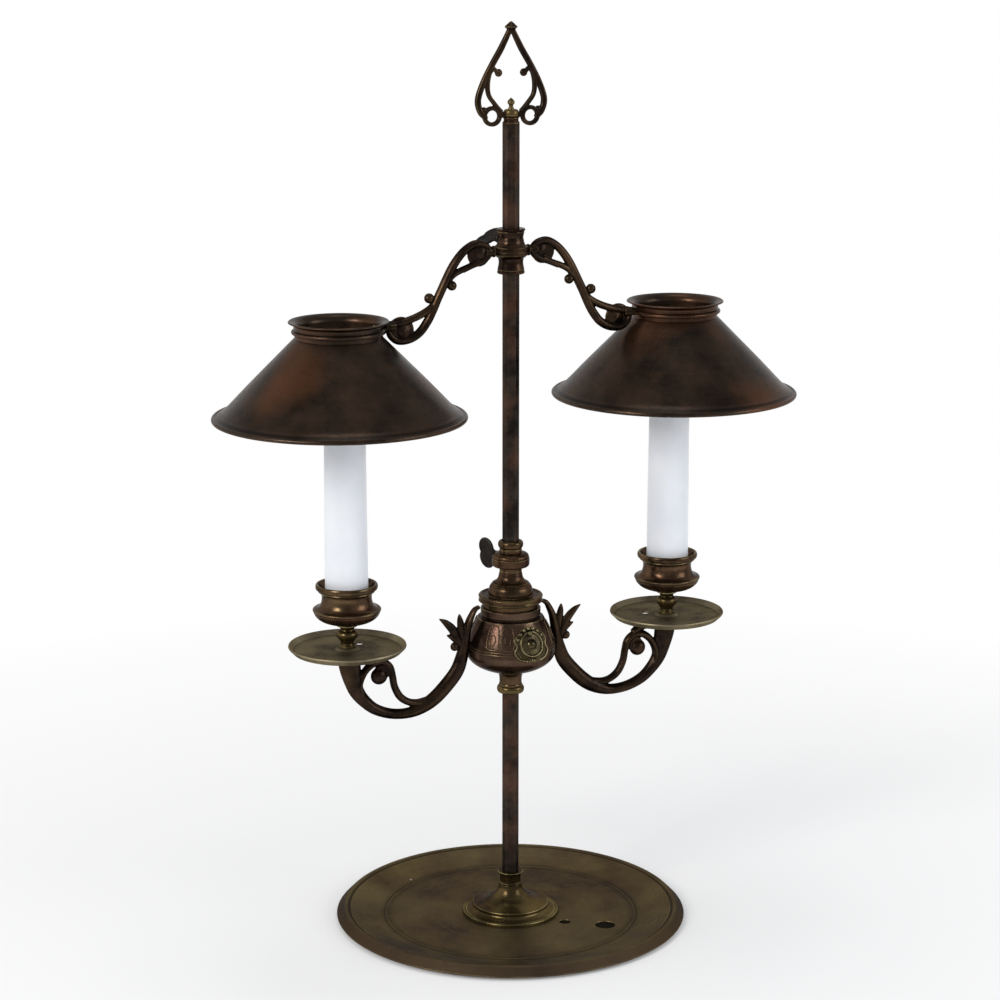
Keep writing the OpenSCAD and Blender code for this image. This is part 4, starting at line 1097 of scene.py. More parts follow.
@dataclass
class Foot:
    """The stepped ring and the flared foot that holds the stem."""

    ring: float = 26.5
    ring_up: float = 4.8
    flange: float = 21.1
    height: float = 19.0
    edge: float = 1.3
    low: float = 1.2
    dome_top: float = 4.2
    rod: float = 4.584
    bore: float = 3.04

    def ring_outline(self) -> Outline:
        """Gives the section of the stepped ring.

        Returns:
            Points from the axis and up, all round the solid.
        """
        top, step, recess = self.low + self.ring_up, self.flange - 0.9, 18.5
        return [
            (self.bore, self.dome_top), (recess, self.dome_top), (recess, self.low),
            (self.ring - 0.4, self.low), (self.ring, self.low + 0.4),
            *arc(self.ring - 0.9, self.low + 1.3, 0.9, 0.8, 0, 130, 7), (self.ring - 1.8, self.low + 1.6),
            *arc(self.ring - 1.8, top - 0.4, self.ring - 1.8 - step, top - 2.2 - self.low, 270, 180, 8),
            (step, top), (self.bore, top),
        ]

    def flare_outline(self) -> Outline:
        """Gives the section of the flared foot.

        Returns:
            Points from the axis and up, all round the solid.
        """
        low = self.low + self.ring_up
        top = low + self.height
        bore = self.rod + SEATED
        neck = bore + 1.1
        bead = low + self.height * 0.6
        r = self.flange
        return [
            (self.bore, low), (r - 0.5, low), *arc(r - 0.5, low + self.edge / 2, 0.5, self.edge / 2, -80, 80, 6),
            *arc(r - 0.9, bead, r - 0.9 - neck - 0.5, bead - low - self.edge, 270, 180, 18),
            *arc(neck, bead + 0.9, 0.8, 0.8, -60, 60, 7), (neck, bead + 2), (neck, top - 2.6),
            *arc(neck + 1.2, top - 2.6, 1.2, 2, 180, 100, 6), (neck + 1.3, top - 0.3), (neck + 1, top), (bore, top),
            (bore, top - 15), (self.bore, top - 15),
        ]

    def build(self) -> None:
        """Makes both pieces of the foot."""
        piece("foot_step", turned(self.ring_outline(), 0.25), FOOT_BRASS, "stand", "foot_ring")
        piece("foot_trumpet", turned(self.flare_outline(), 0.2), FOOT_BRASS, "stand", "foot_flare")


@dataclass
class Stem:
    """The hexagonal rod with its openwork finial."""

    flats: float = 7.94
    top: float = 434.9
    low: float = 10.0
    turn: float = 11.0
    finial_up: float = 47.4
    finial_half: float = 20.0
    bar: float = 1.6
    half: float = 1.5
    eye: float = 3.0
    ferrule_up: float = 3.3
    hub_up: float = 4.2

    @property
    def finial_z(self) -> float:
        """Gives the height of the finial's foot."""
        return self.top + self.ferrule_up

    def rod(self) -> Shell:
        """Makes the rod with eased corners.

        Returns:
            The rod.
        """
        corner = self.flats / 2 / math.cos(math.radians(30))
        section: Outline = []
        for k in range(6):
            a = math.radians(self.turn + 30 + 60 * k)
            for off in (-3.2, -1.1, 1.1, 3.2):
                t = a + math.radians(off)
                face = self.flats / 2 / math.cos(math.radians(30 - abs(off)))
                section.append((min(face, corner - 0.1) * math.cos(t), min(face, corner - 0.1) * math.sin(t)))
        heights = [self.low, *np.linspace(self.low + 1, self.top - 0.3, 60), self.top - 0.08, self.top]
        scale = [1.0] * (len(heights) - 1) + [0.97]
        n = len(section)
        points = [(x * s, y * s, z) for z, s in zip(heights, scale) for x, y in section]
        wear = [1.0 if (k % 4) in (1, 2) else 0.35 for _ in heights for k in range(n)]
        faces = [
            (i * n + k, i * n + (k + 1) % n, (i + 1) * n + (k + 1) % n, (i + 1) * n + k)
            for i in range(len(heights) - 1)
            for k in range(n)
        ]
        faces += [tuple(range(n - 1, -1, -1)), tuple((len(heights) - 1) * n + k for k in range(n))]
        return Shell(np.array(points), faces, np.array(wear)).outward()

    def _flat(self, points: Sequence[Sequence[float]], steps: int = 8) -> Shell:
        """Sweeps a flat bar of the finial through points of across, up and half width.

        Args:
            points: Across, up and half width of each.
            steps: Steps between the points.

        Returns:
            The bar.
        """
        line = smooth(points, steps)
        path = np.column_stack([line[:, 0], np.zeros(len(line)), line[:, 1]])
        return swept(path, ALONG, np.column_stack([line[:, 2], np.full(len(line), self.half)]), 20, 0.6)

    def finial(self) -> Shell:
        """Makes the openwork frame.

        Returns:
            The casting.
        """
        w, h, base = self.bar, self.finial_up, self.finial_z
        x = self.finial_half - w
        ring = self.eye + 2 * w * 0.72
        eye_x = 4.1 + ring + 1.2
        eye_z = base + ring - 4.5
        lines = {
            "outer": [(0.2, h - 1.5, w * 0.8), (0.3 * x, 0.75 * h, w), (0.58 * x, 0.57 * h, w), (0.84 * x, 0.38 * h, w),
                      (x, 0.2 * h, w), (0.93 * x, 0.07 * h, w), (eye_x + ring * 0.6, -0.3, w * 0.8)],
            "inner": [(0.62 * x, 0.52 * h, w * 0.6), (0.71 * x, 0.38 * h, w * 0.75), (0.68 * x, 0.25 * h, w * 0.7),
                      (0.5 * x, 0.15 * h, w * 0.7), (0.3 * x, 0.06 * h, w * 0.8)],
            "curl": [(0.42 * x, 0.49 * h, w * 0.6), (0.55 * x, 0.53 * h, w * 0.7), (0.68 * x, 0.46 * h, w * 0.6)],
        }
        shells = []
        for side in Side:
            s = side.value
            for line in lines.values():
                shells.append(self._flat([(s * a, base + b, c) for a, b, c in line]))
            shells.append(ball(s * 0.38 * x, 0, base + 0.485 * h, w * 1.3, self.half, w * 1.3))
            turns = np.radians(np.arange(0, 360, 10))
            middle = (ring + self.eye) / 2
            path = np.column_stack(
                [s * eye_x + middle * np.cos(turns), 0 * turns, eye_z + middle * np.sin(turns)]
            )
            half = np.tile([(ring - self.eye) / 2, self.half], (len(turns), 1))
            shells.append(swept(path, ALONG, half, 20, 0.6, True))
            shells.append(self._flat([(s * 1.0, base + 1.6, 1.5), (s * (eye_x - self.eye - 0.6), base + 1.4, 1.6)], 4))
            shells.append(ball(s * (eye_x + ring * 0.85), 0, base + ring * 0.75, w * 1.1, self.half, w * 1.1))
        tip = base + h
        knop = [(0, tip - 3.6), (0.9, tip - 3.4), (3.4, tip - 1.3), (3.4, tip - 1.0), (0.5, tip + 1.7), (0, tip + 1.7)]
        shells += [turned([(0, base + 0.4), (2.6, base + 0.4), (2.6, base + 3.8), (0, base + 3.8)], 0.2, 48),
                   turned(knop, 0.2, 48)]
        return cast(shells, 0.22, 5)

    def hub(self) -> Shell:
        """Makes the round hub between the rings.

        Returns:
            The hub.
        """
        z, up, r = self.finial_z, self.hub_up, 2.7
        outline = [(0, z), (r, z), *arc(r, z + up / 2, 1.4, up / 2, -80, 80, 8), (r, z + up), (0, z + up)]
        return turned(outline, 0.2, 64)

    def bud(self) -> Shell:
        """Makes the bud-headed screw.

        Returns:
            The screw.
        """
        z = self.finial_z + self.hub_up
        outline = [
            (0, z - 1), (1.5, z - 1), (1.5, z), (1.7, z), (1.05, z + 1.6),
            *arc(0, z + 3.6, 1.9, 1.68, -50, 40, 8), (0.5, z + 5.6), (0, z + 6),
        ]
        return turned(outline, 0.15, 48)

    def ferrule(self) -> Shell:
        """Makes the short collar between rod and finial.

        Returns:
            The collar.
        """
        r, low, high = 4.184, self.top, self.finial_z
        outline = [
            (0, low), (r + 0.3, low), (r + 0.3, low + 0.8), (r - 0.3, low + 1.4), (r - 0.3, high - 0.8),
            (r, high - 0.4), (r, high), (0, high),
        ]
        return turned(outline, 0.15, 64)

    def build(self) -> None:
        """Makes the rod and the finial."""
        piece("hexagon_rod", self.rod(), ROD_IRON, "stand", "stem_rod")
        piece("finial_collar", self.ferrule(), RUBBED_BRONZE, "stand", "finial_ferrule")
        piece("finial_openwork", self.finial(), BRONZE, "stand", "finial_frame")
        piece("finial_hub", self.hub(), FOOT_BRASS, "stand")
        piece("finial_bud", self.bud(), FOOT_BRASS, "stand", "finial_screw")


# ---------------------------------------------------------------- thumb-screws


@dataclass
class ThumbScrew:
    """A wing screw that points back and to the left."""

    name: str
    node: str
    body: str
    tip: float
    seat: float
    z: float
    lean: float
    heading: float = 110.0
    shank: float = 1.5
    length: float = 12.4
    width: float = 17.4
    half: float = 0.9

    def build(self) -> None:
        """Makes the screw."""
        hub = self.seat + 2.4
        lobe = self.width * 0.325
        apart = self.width / 2 - lobe
        middle = hub + self.length - lobe
        seat, collar = self.seat + 0.3, self.shank + 1.1
        stem = [(0, self.tip), (self.shank, self.tip), (self.shank, seat), (collar, seat), (collar, hub + 0.3),
                (self.shank, hub + 0.5), (0, hub + 0.6)]
        shells = [lying(turned(stem, 0.2, 40), 0.0, 0.0)]
        for s in (-1, 1):
            line = smooth(
                [(hub - 0.6, s * 0.8, 1.4), (hub + 1.8, s * 1.4, 2.2), (middle - 0.6, s * apart, 3.6)], 6
            )
            path = np.column_stack([line[:, 0], line[:, 1], np.zeros(len(line))])
            half = np.column_stack([line[:, 2], np.full(len(line), self.half)])
            shells.append(swept(path, UP, half, 16, 0.8))
            face = [(0, -self.half * 0.7), *arc(lobe - self.half, 0, self.half, self.half, -75, 75, 8),
                    (0, self.half * 0.7)]
            shells.append(turned(face, 0.3, 56).placed(Matrix.Translation((middle, s * apart, 0))))
        place = (
            Matrix.Translation((0, 0, self.z))
            @ Matrix.Rotation(math.radians(self.heading), 4, "Z")
            @ Matrix.Rotation(math.radians(self.lean), 4, "X")
        )
        piece(self.name, cast(shells, 0.2, 4).placed(place), WING_STEEL, self.body, self.node)


# ---------------------------------------------------------------- cast scrollwork


@dataclass(frozen=True)
class Layout:
    """The frame in which a casting is drawn, by shares of its span and height in hundredths.

    Attributes:
        left: X of its inner end.
        right: X of its outer end.
        low: Height of its foot.
        high: Height of its top.
        bar: Half width of a full bar.
        half: Half thickness of a full bar.
    """

    left: float
    right: float
    low: float
    high: float
    bar: float
    half: float

    def at(self, rows: Sequence[Sequence[float]] | np.ndarray) -> np.ndarray:
        """Gives rows of X, Z, half width and half thickness in millimetres, from rows of shares.

        Args:
            rows: Rows of shares, or one row.

        Returns:
            The rows in millimetres.
        """
        rows = np.atleast_2d(rows)
        return np.column_stack([
            self.left + (self.right - self.left) * rows[:, 0] / 100,
            self.low + (self.high - self.low) * rows[:, 1] / 100,
            self.bar * rows[:, 2] / 100, rows[:, 3] * self.half,
        ])

    def scroll(self, rows: Sequence[Sequence[float]], steps: int = 8, ridge: float = 1.3) -> Shell:
        """Sweeps one scroll.

        Args:
            rows: Points on it, in shares.
            steps: Steps between the points.
            ridge: How ridged its faces are.

        Returns:
            The scroll.
        """
        line = self.at(smooth(rows, steps))
        path = np.column_stack([line[:, 0], np.zeros(len(line)), line[:, 1]])
        return swept(path, ALONG, line[:, 2:4], 20, ridge)


# ---------------------------------------------------------------- the shade carrier


@dataclass
class ShadeCarrier:
    """The collar with its brackets, necks and shades."""

    band_z: float = 368.8
    drop: float = 36.0
    reach: float = 95.5
    bush: float = 5.534
    length: float = 20.6
    spigot: float = 22.0
    bead: float = 24.5
    rim: float = 66.5
    shade_up: float = 45.2
    bar: float = 2.4
    half: float = 2.6

    @property
    def neck_z(self) -> float:
        """Gives the height of the top of the neck's bead."""
        return self.band_z - self.drop

    @property
    def bead_z(self) -> float:
        """Gives the height of the underside of the neck's bead."""
        return self.neck_z - 2.1

    def collar_outline(self) -> Outline:
        """Gives the section of the turning collar.

        Returns:
            Points from the axis and up, all round the solid.
        """
        bore = self.bush + RUNNING
        waist, band = bore + 0.85, bore + 3.6
        low, high = self.band_z - 2.3, self.band_z + 2.3
        z, top = self.band_z - self.length / 2, self.band_z + self.length / 2
        return [
            (bore, z), (waist + 0.6, z), (waist + 0.6, z + 0.8), (waist + 0.1, z + 3.2), (waist, z + 4.6),
            (waist + 0.3, low - 1.6), (band - 0.9, low - 0.4), (band, low + 0.4), (band, self.band_z - 0.25),
            (band - 0.25, self.band_z), (band, self.band_z + 0.25), (band, high - 0.4),
            *arc(band, high + 4.2, band - waist - 0.3, 4.2, 265, 185, 12), (waist, high + 4.8),
            (waist + 0.6, top - 0.6), (waist + 0.6, top), (bore, top),
        ]

    def collar(self) -> None:
        """Makes the collar and dresses its bush, the bush's nut and the rivets."""
        piece("collar_turned", turned(self.collar_outline(), 0.2, 96), RUBBED_BRONZE, "shade_carrier", "shade_collar")
        dress("shade_bush", RUBBED_BRONZE)
        dress("shade_bush_nut", RUBBED_BRONZE)
        dress("shade_rivets", RIVET_BRASS)

    def bracket(self) -> Shell:
        """Makes the right bracket.

        Returns:
            The bracket.
        """
        layout = Layout(
            self.bush + 3.66, self.reach - self.bead, self.neck_z - 10, self.band_z + 6.4, self.bar, self.half
        )
        main = [
            (29, 70, 54, 0.7), (20, 75, 67, 0.8), (11, 79, 75, 0.9), (5.5, 85, 79, 1), (6.5, 92, 79, 1),
            (12, 96, 79, 1), (19, 96, 88, 1), (27, 90.5, 92, 1), (33.5, 82.5, 96, 1), (39, 73, 100, 1),
            (44, 62, 100, 1), (48, 52.5, 100, 1), (52, 43, 100, 1), (56, 32.5, 100, 1), (61, 21.5, 100, 1),
            (68, 11, 98, 1), (77, 5, 96, 1), (87, 4, 90, 1), (93.5, 9, 80, 0.9), (96, 15, 65, 0.8),
        ]
        low = [(53, 41, 67, 0.7), (59, 34, 79, 0.8), (67, 28.5, 83, 0.9), (76, 24.5, 83, 0.9), (86, 21.5, 83, 0.9),
               (95, 20.5, 83, 0.9)]
        top = [(44, 58, 63, 0.7), (38, 66, 71, 0.8), (31, 70.5, 71, 0.8), (22, 74.5, 71, 0.8), (14, 79, 75, 0.8)]
        shells = [layout.scroll(line, 8, 1.25) for line in (main, low, top)]
        for row, thick, crown in (((12.5, 87.5, 142, 1), 1.0, 0.6), ((82.5, 13.5, 167, 1), 1.0, 0.6),
                                  ((14.5, 85.5, 267, 1), 0.45, 0.9), ((85, 14, 308, 1), 0.45, 0.9)):
            x, z, r, half = layout.at(row)[0]
            shells.append(disc(x, z, r, half * thick, crown))
        for row, way in (((45, 59.7, 108, 1), 208), ((52.8, 41, 112, 1), 25)):
            x, z, r, _ = layout.at(row)[0]
            away = self.bar + 0.75 * r
            x, z = x + away * math.cos(math.radians(way)), z + away * math.sin(math.radians(way))
            shells.append(ball(x, 0, z, r, r * 0.95, r))
        shoulder = turned([(0, 0), (3.1, 0), (3.1, 0.8), (2.6, 1.6), (2.9, 5.5), (0, 5.5)], 0.2, 40)
        pin = turned([(0, 0), (1.7, 0), (1.7, 9), (0, 9)], 0.1, 32)
        pad_x = self.reach - self.bead - 0.1
        pad = swept(
            np.array([[pad_x - 6, 0, self.neck_z], [pad_x - 3, 0, self.neck_z], [pad_x, 0, self.neck_z]], float),
            ALONG, np.array([[1.9, 3.2], [2.0, 3.9], [2.0, 4.1]]), 24, 0.45,
        )
        shells += [lying(pin, self.bush + 1.2, self.band_z), lying(shoulder, self.bush + 3.7, self.band_z), pad]
        return cast(shells, 0.26, 5)

    def brackets(self) -> None:
        """Makes both brackets."""
        right = self.bracket()
        for side in Side:
            name = side.label()
            piece(f"bracket_{name}", right.on(side), BRONZE, "shade_carrier", f"shade_bracket_{name}")

    def neck_outline(self) -> Outline:
        """Gives the section of a neck.

        Returns:
            Points from the axis and up, all round the solid.
        """
        bead_z, bore = self.bead_z, self.spigot - 1.2
        top, flare, groove = self.neck_z + 4.6, self.spigot + 4.1, self.spigot + 1.25
        return [
            (bore, bead_z - 4.4), (self.spigot, bead_z - 4.4), (self.spigot, bead_z), (self.bead - 0.8, bead_z),
            *arc(self.bead - 0.9, bead_z + 1.05, 0.9, 1.05, -70, 70, 8), (groove, self.neck_z + 0.3),
            (groove, self.neck_z + 2.07), *arc(flare - 0.3, top - 3.2, flare - groove - 0.3, 2.2, 180, 100, 9),
            (flare, top - 0.8), (flare, top - 0.4), (flare - 0.5, top),
            *arc(flare - 0.5, self.neck_z + 0.5, flare - bore - 0.5, 4.0, 105, 180, 10), (bore, self.neck_z),
        ]

    def cone_outline(self) -> Outline:
        """Gives the section of a shade, with a rolled edge.

        Returns:
            Points from the axis and up, all round the solid.
        """
        bead_z, rim_z = self.bead_z, self.bead_z - self.shade_up
        inner, sheet = self.spigot + SEATED, 0.8
        outer, roll = inner + sheet, 1.2
        edge = self.rim - roll
        lip_r, lip_z = edge - 4.5 + roll, rim_z + roll + 2.4
        high = bead_z - 2
        run, fall = lip_r - outer, high - lip_z
        inset = sheet / math.hypot(run, fall)
        over = smooth(
            [(outer, high), (outer + run * 0.3, high - fall * 0.3), (outer + run * 0.62, high - fall * 0.62),
             (outer + run * 0.92, high - fall * 0.93), (lip_r + 0.6, lip_z - 0.15), (edge, rim_z + roll + 0.45)], 8,
        )
        under = smooth(
            [(edge, rim_z + roll - 0.35), (lip_r - inset * fall + 0.6, lip_z - inset * run - 0.15),
             (outer + run * 0.92 - inset * fall, high - fall * 0.93 - inset * run),
             (outer + run * 0.3 - inset * fall, high - fall * 0.3 - inset * run), (inner, high - 0.4)], 8,
        )
        return [
            (inner, bead_z), (outer, bead_z), *[tuple(q) for q in over[:-1]],
            *arc(edge, rim_z + roll, roll, roll, 150, -170, 14), *[tuple(q) for q in under[1:]],
        ]

    def shades(self) -> None:
        """Makes both necks and both shades."""
        neck = turned(self.neck_outline(), 0.2, 128, self.reach)
        cone = turned(self.cone_outline(), 0.15, 192, self.reach)
        for side in Side:
            name = side.label()
            piece(f"neck_ring_{name}", neck.on(side), SHADE_COPPER, "shade_carrier", f"shade_neck_{name}")
            piece(f"shade_spun_{name}", cone.on(side), SHADE_COPPER, "shade_carrier", f"shade_cone_{name}")

    def build(self) -> None:
        """Makes the whole carrier."""
        self.collar()
        self.brackets()
        self.shades()
        ThumbScrew("wing_upper", "shade_thumb_screw", "shade_screw", 5.83, 7.74, 374.5, 155.0).build()


# ---------------------------------------------------------------- the candle carrier


@dataclass
class CandleCarrier:
    """The urn with its arms, drip pans and cups.

    Lengths round the urn are counted at the radius girth, from aside degrees to the right of its front.
    """

    girth: float = 22.0
    aside: float = 8.0
    top_z: float = 179.0
    sleeve: float = 5.184
    band: float = 10.2
    cap: float = 17.4
    cap_up: float = 17.2
    mouth: float = 15.6
    wide: float = 24.2
    urn_up: float = 24.5
    urn_down: float = 12.0
    ring_up: float = 4.2
    tail: float = 8.3
    tail_up: float = 8.3
    reach: float = 93.0
    rise: float = 41.3
    seat_drop: float = 18.1
    bar: float = 3.0
    half: float = 3.2
    pan: float = 31.3
    boss_up: float = 2.1
    stem_up: float = 12.5
    cup_up: float = 22.3
    cup_rim: float = 16.5
    cup_belly: float = 18.1
    stud_bore: float = 1.54
    pan_hole: tuple[float, float, float] = (83.7, 7.9, 2.4)

    @property
    def bore(self) -> float:
        """Gives the bore of what turns on the sleeve."""
        return self.sleeve + RUNNING

    @property
    def throat(self) -> float:
        """Gives the radius of the thin necks of collar, cap and tail."""
        return self.bore + 0.8

    @property
    def cap_top(self) -> float:
        """Gives the height of the top of the cap."""
        return self.top_z + self.cap_up

    @property
    def mouth_z(self) -> float:
        """Gives the height of the urn's mouth."""
        return self.top_z - 3.0

    @property
    def wide_z(self) -> float:
        """Gives the height at which the urn is widest."""
        return self.mouth_z - self.urn_up

    @property
    def floor_z(self) -> float:
        """Gives the height of the urn's bottom."""
        return self.wide_z - self.urn_down * math.sin(math.radians(70))

    @property
    def seat_z(self) -> float:
        """Gives the height of the pans' underside."""
        return self.top_z - self.seat_drop

    def head(self) -> None:
        """Makes the bead on the sleeve, its nut and the banded collar."""
        top = self.cap_top + 11.7
        z, bead, inner = top + RUNNING, 6.85, 4.75
        nut_z, nut_r, nut_bore = self.floor_z - self.tail_up - 4 - RUNNING, 7.4, self.sleeve + SEATED
        tube = [
            (inner, nut_z), (self.sleeve, nut_z), (self.sleeve, z), (bead - 0.9, z), (bead - 0.9, z + 0.6),
            *arc(bead - 1.2, z + 2.6, 1.2, 2.0, -60, 75, 8), (bead - 1.4, z + 4.6), (inner, z + 4.6),
        ]
        piece("sleeve_tube", turned(tube, 0.15, 64), RUBBED_BRONZE, "candle_slide", "candle_sleeve")
        nut = [
            (nut_bore, nut_z), (nut_r - 1.2, nut_z), *arc(nut_r - 1.2, nut_z + 2, 1.2, 2, -80, 80, 9),
            (nut_r - 1.2, nut_z + 4), (nut_bore, nut_z + 4),
        ]
        piece("tail_ring", turned(nut, 0.15, 64), FOOT_BRASS, "candle_slide", "sleeve_nut")
        low, neck, r = self.cap_top + 2.15, self.throat, self.band
        collar = [
            (self.bore, self.cap_top), (neck, self.cap_top), (neck, low - 0.4),
            *arc(r - 1.6, low + 1.6, 1.6, 1.6, -80, 0, 6), (r, low + 4.6), (r - 0.35, low + 4.9),
            *arc(r - 2.4, low + 5.3, 2.1, 2.1, 0, 80, 7), (neck, low + 7.7), (neck, top), (self.bore, top),
        ]
        piece("collar_band", turned(collar, 0.2, 96), RUBBED_BRONZE, "candle_carrier", "candle_collar")

    def urn(self) -> None:
        """Makes the cap, the urn and its tail."""
        z, r, throat = self.top_z, self.cap, self.throat
        neck, spigot = self.mouth - 1, self.mouth - 2.04
        rim_top, flare_z, top = z + 4, self.cap_top - 1.6, self.cap_top
        bulge_r, bulge_z = r * 0.61, z + self.cap_up * 0.55
        cap = [
            (self.bore, z + 6), (spigot - 1.6, z + 4), (spigot - 1.6, self.mouth_z - 3), (spigot, self.mouth_z - 3),
            (spigot, self.mouth_z), (neck, self.mouth_z), (neck, z), (r - 0.6, z), (r, z + 0.6), (r - 0.3, z + 2),
            (r, rim_top - 0.6), (r - 0.5, rim_top), (r - 1.5, rim_top + 0.1), (r - 2.3, rim_top - 0.4),
            (12.8, rim_top - 0.4), (12.1, rim_top + 0.1),
            *arc(bulge_r, rim_top + 0.1, 12.0 - bulge_r, bulge_z - rim_top - 0.5, 0, 80, 10),
            (bulge_r, bulge_z), (bulge_r - 0.5, bulge_z + 0.6),
            *arc(bulge_r - 0.2, flare_z, bulge_r - throat - 0.5, flare_z - bulge_z - 1, 260, 185, 10),
            (throat, flare_z + 0.6), (throat, top), (self.bore, top),
        ]
        piece("urn_lid", turned(cap, 0.25, 128), RUBBED_BRONZE, "candle_carrier", "urn_cap")
        side = self.side(0.0)
        inner = self.side(2.0)[::-1]
        ring_z = self.mouth_z - self.ring_up
        body = [
            (self.mouth - 2, self.mouth_z), (self.mouth + 0.2, self.mouth_z), (self.mouth + 0.6, self.mouth_z - 0.5),
            (self.mouth + 0.6, ring_z + 0.5), (self.mouth, ring_z), (self.mouth, ring_z - 0.7),
            (self.mouth + 0.7, ring_z - 1.1), *side, (8.3, self.floor_z), (self.bore, self.floor_z),
            (self.bore, self.floor_z + 2), *inner[:-1], (self.mouth - 2, ring_z - 1.6),
        ]
        piece("urn_bowl", turned(body, 0.2, 160), URN_COPPER, "candle_carrier", "urn_body")
        wide, up, low = self.tail, self.tail_up, self.floor_z - self.tail_up
        tail = [
            (self.bore, low), (throat + 0.3, low), (throat + 0.3, low + 0.7), (throat, low + 1.2),
            *arc(wide, low + up * 0.42, wide - throat, up * 0.5, 180, 95, 10), (wide, self.floor_z - 0.4),
            (wide, self.floor_z), (self.bore, self.floor_z),
        ]
        piece("urn_foot", turned(tail, 0.15, 80), RUBBED_BRONZE, "candle_carrier", "urn_tail")

    def side(self, inset: float) -> Outline:
        """Gives the flank and the bottom of the urn, moved in.

        Args:
            inset: How far inwards.

        Returns:
            Points from the axis and up, downwards.
        """
        rise = self.urn_up - 1.5
        shares = [(self.urn_up - self.ring_up - 1.2) / rise * (1 - i / 20) for i in range(21)]
        flank = [
            (self.mouth + (self.wide - self.mouth) * (1 - share**1.6) - inset, self.wide_z + rise * share)
            for share in shares
        ]
        return flank + arc(0, self.wide_z, self.wide - inset, self.urn_down - inset, -5, -68, 14)

    def skin(self, turn: float, z: float, out: float) -> tuple[np.ndarray, np.ndarray]:
        """Finds a point on the urn.

        Args:
            turn: Angle from the front, in degrees, counted to the right.
            z: Height.
            out: Distance off the surface.

        Returns:
            The point and the direction straight out of the surface.
        """
        rows = np.array(self.side(0.0))[::-1]
        r = float(np.interp(z, rows[:, 1], rows[:, 0]))
        above, below = (float(np.interp(z + step, rows[:, 1], rows[:, 0])) for step in (0.4, -0.4))
        slope = (above - below) / 0.8
        a = math.radians(turn - 90)
        normal = np.array([math.cos(a), math.sin(a), -slope])
        normal /= np.linalg.norm(normal)
        return np.array([r * math.cos(a), r * math.sin(a), z]) + normal * out, normal

    def relief(self, points: Sequence[Sequence[float]], lift: float, steps: int = 6, looped: bool = False) -> Shell:
        """Lays a raised line on the urn.

        Args:
            points: Millimetres round from the front, height, and half width at each point.
            lift: Height of the line over the surface.
            steps: Steps between the points.
            looped: Whether the line closes on itself.

        Returns:
            The line.
        """
        rows = list(points) + ([points[0]] if looped else [])
        line = smooth(rows, steps)[: -1 if looped else None]
        spots = [self.skin(math.degrees(x / self.girth), z, 0.0) for x, z, _ in line]
        path = np.array([s[0] for s in spots])
        face = np.array([s[1] for s in spots])
        half = np.column_stack([line[:, 2], np.full(len(line), lift)])
        return swept(path, face, half, 12, 1.0, looped)

    def ornament(self) -> Shell:
        """Makes the cartouche: a ringed boss with scrolls round it.

        Returns:
            The cartouche.
        """
        z = self.wide_z + 8.5
        x = self.girth * math.radians(self.aside)
        shells = []
        for radius, half, lift in ((6.2, 0.85, 1.4), (4.9, 4.6, 0.5)):
            turns = np.radians(np.arange(0, 360, 30))
            circle = [(x + radius * math.cos(t), z + radius * math.sin(t), half) for t in turns]
            shells.append(self.relief(circle, lift, 4, True))
        beads = [(0.0, 0.0, 3.0, -1.0), (-0.4, 5.4, 1.4, 0.9), (0.0, -8.4, 1.4, 0.2)]
        crown = np.radians(range(160, 20, -22))
        beads += [(8.0 * math.cos(t), 8.0 * math.sin(t), 1.15, 0.3) for t in crown]
        for across, up, r, out in beads:
            spot = self.skin(math.degrees((x + across) / self.girth), z + up, out)[0]
            shells.append(ball(*spot, r, r, r))
        for s in (-1, 1):
            hook = [(x + s * 8.2, z + 4.6, 0.7), (x + s * 9.5, z + 2.0, 0.85), (x + s * 8.3, z - 1.0, 0.7),
                    (x + s * 9.4, z - 4.0, 0.85), (x + s * 7.2, z - 7.2, 0.8), (x + s * 3.2, z - 8.6, 0.7)]
            shells.append(self.relief(hook, 1.15, 6))
        return cast(shells, 0.2, 3, 1.4)

    def straps(self) -> Shell:
        """Makes the raised strapwork round the urn.

        Returns:
            The strapwork.
        """
        shells = []
        for half_turn in (0, 180):
            for middle in (-56, -34, 50):
                x = self.girth * math.radians(middle + self.aside)
                low, high = self.wide_z + 6.5, self.wide_z + 16.8
                outer = [(-3.1, low), (-3.4, low + 5), (-2.5, high), (0, high + 1.2), (2.5, high), (3.4, low + 5),
                         (3.1, low), (0, low - 1.0)]
                inner = [(-1.3, low + 2.5), (-1.4, high - 5), (0, high - 3.6), (1.4, high - 5), (1.3, low + 2.5),
                         (0, low + 1.4)]
                for line, half in ((outer, 0.45), (inner, 0.35)):
                    shell = self.relief([(x + across, z, half) for across, z in line], 0.55, 5, True)
                    shells.append(shell.placed(Matrix.Rotation(math.radians(half_turn), 4, "Z")))
        for z, lift in ((self.wide_z + 4.3, 0.5), (self.wide_z + 2.9, 0.4)):
            ring = [(self.girth * math.radians(t), z, 0.42) for t in range(0, 360, 10)]
            shells.append(self.relief(ring, lift, 3, True))
        out = joined(shells)
        out.wear[:] = 0.55
        return out

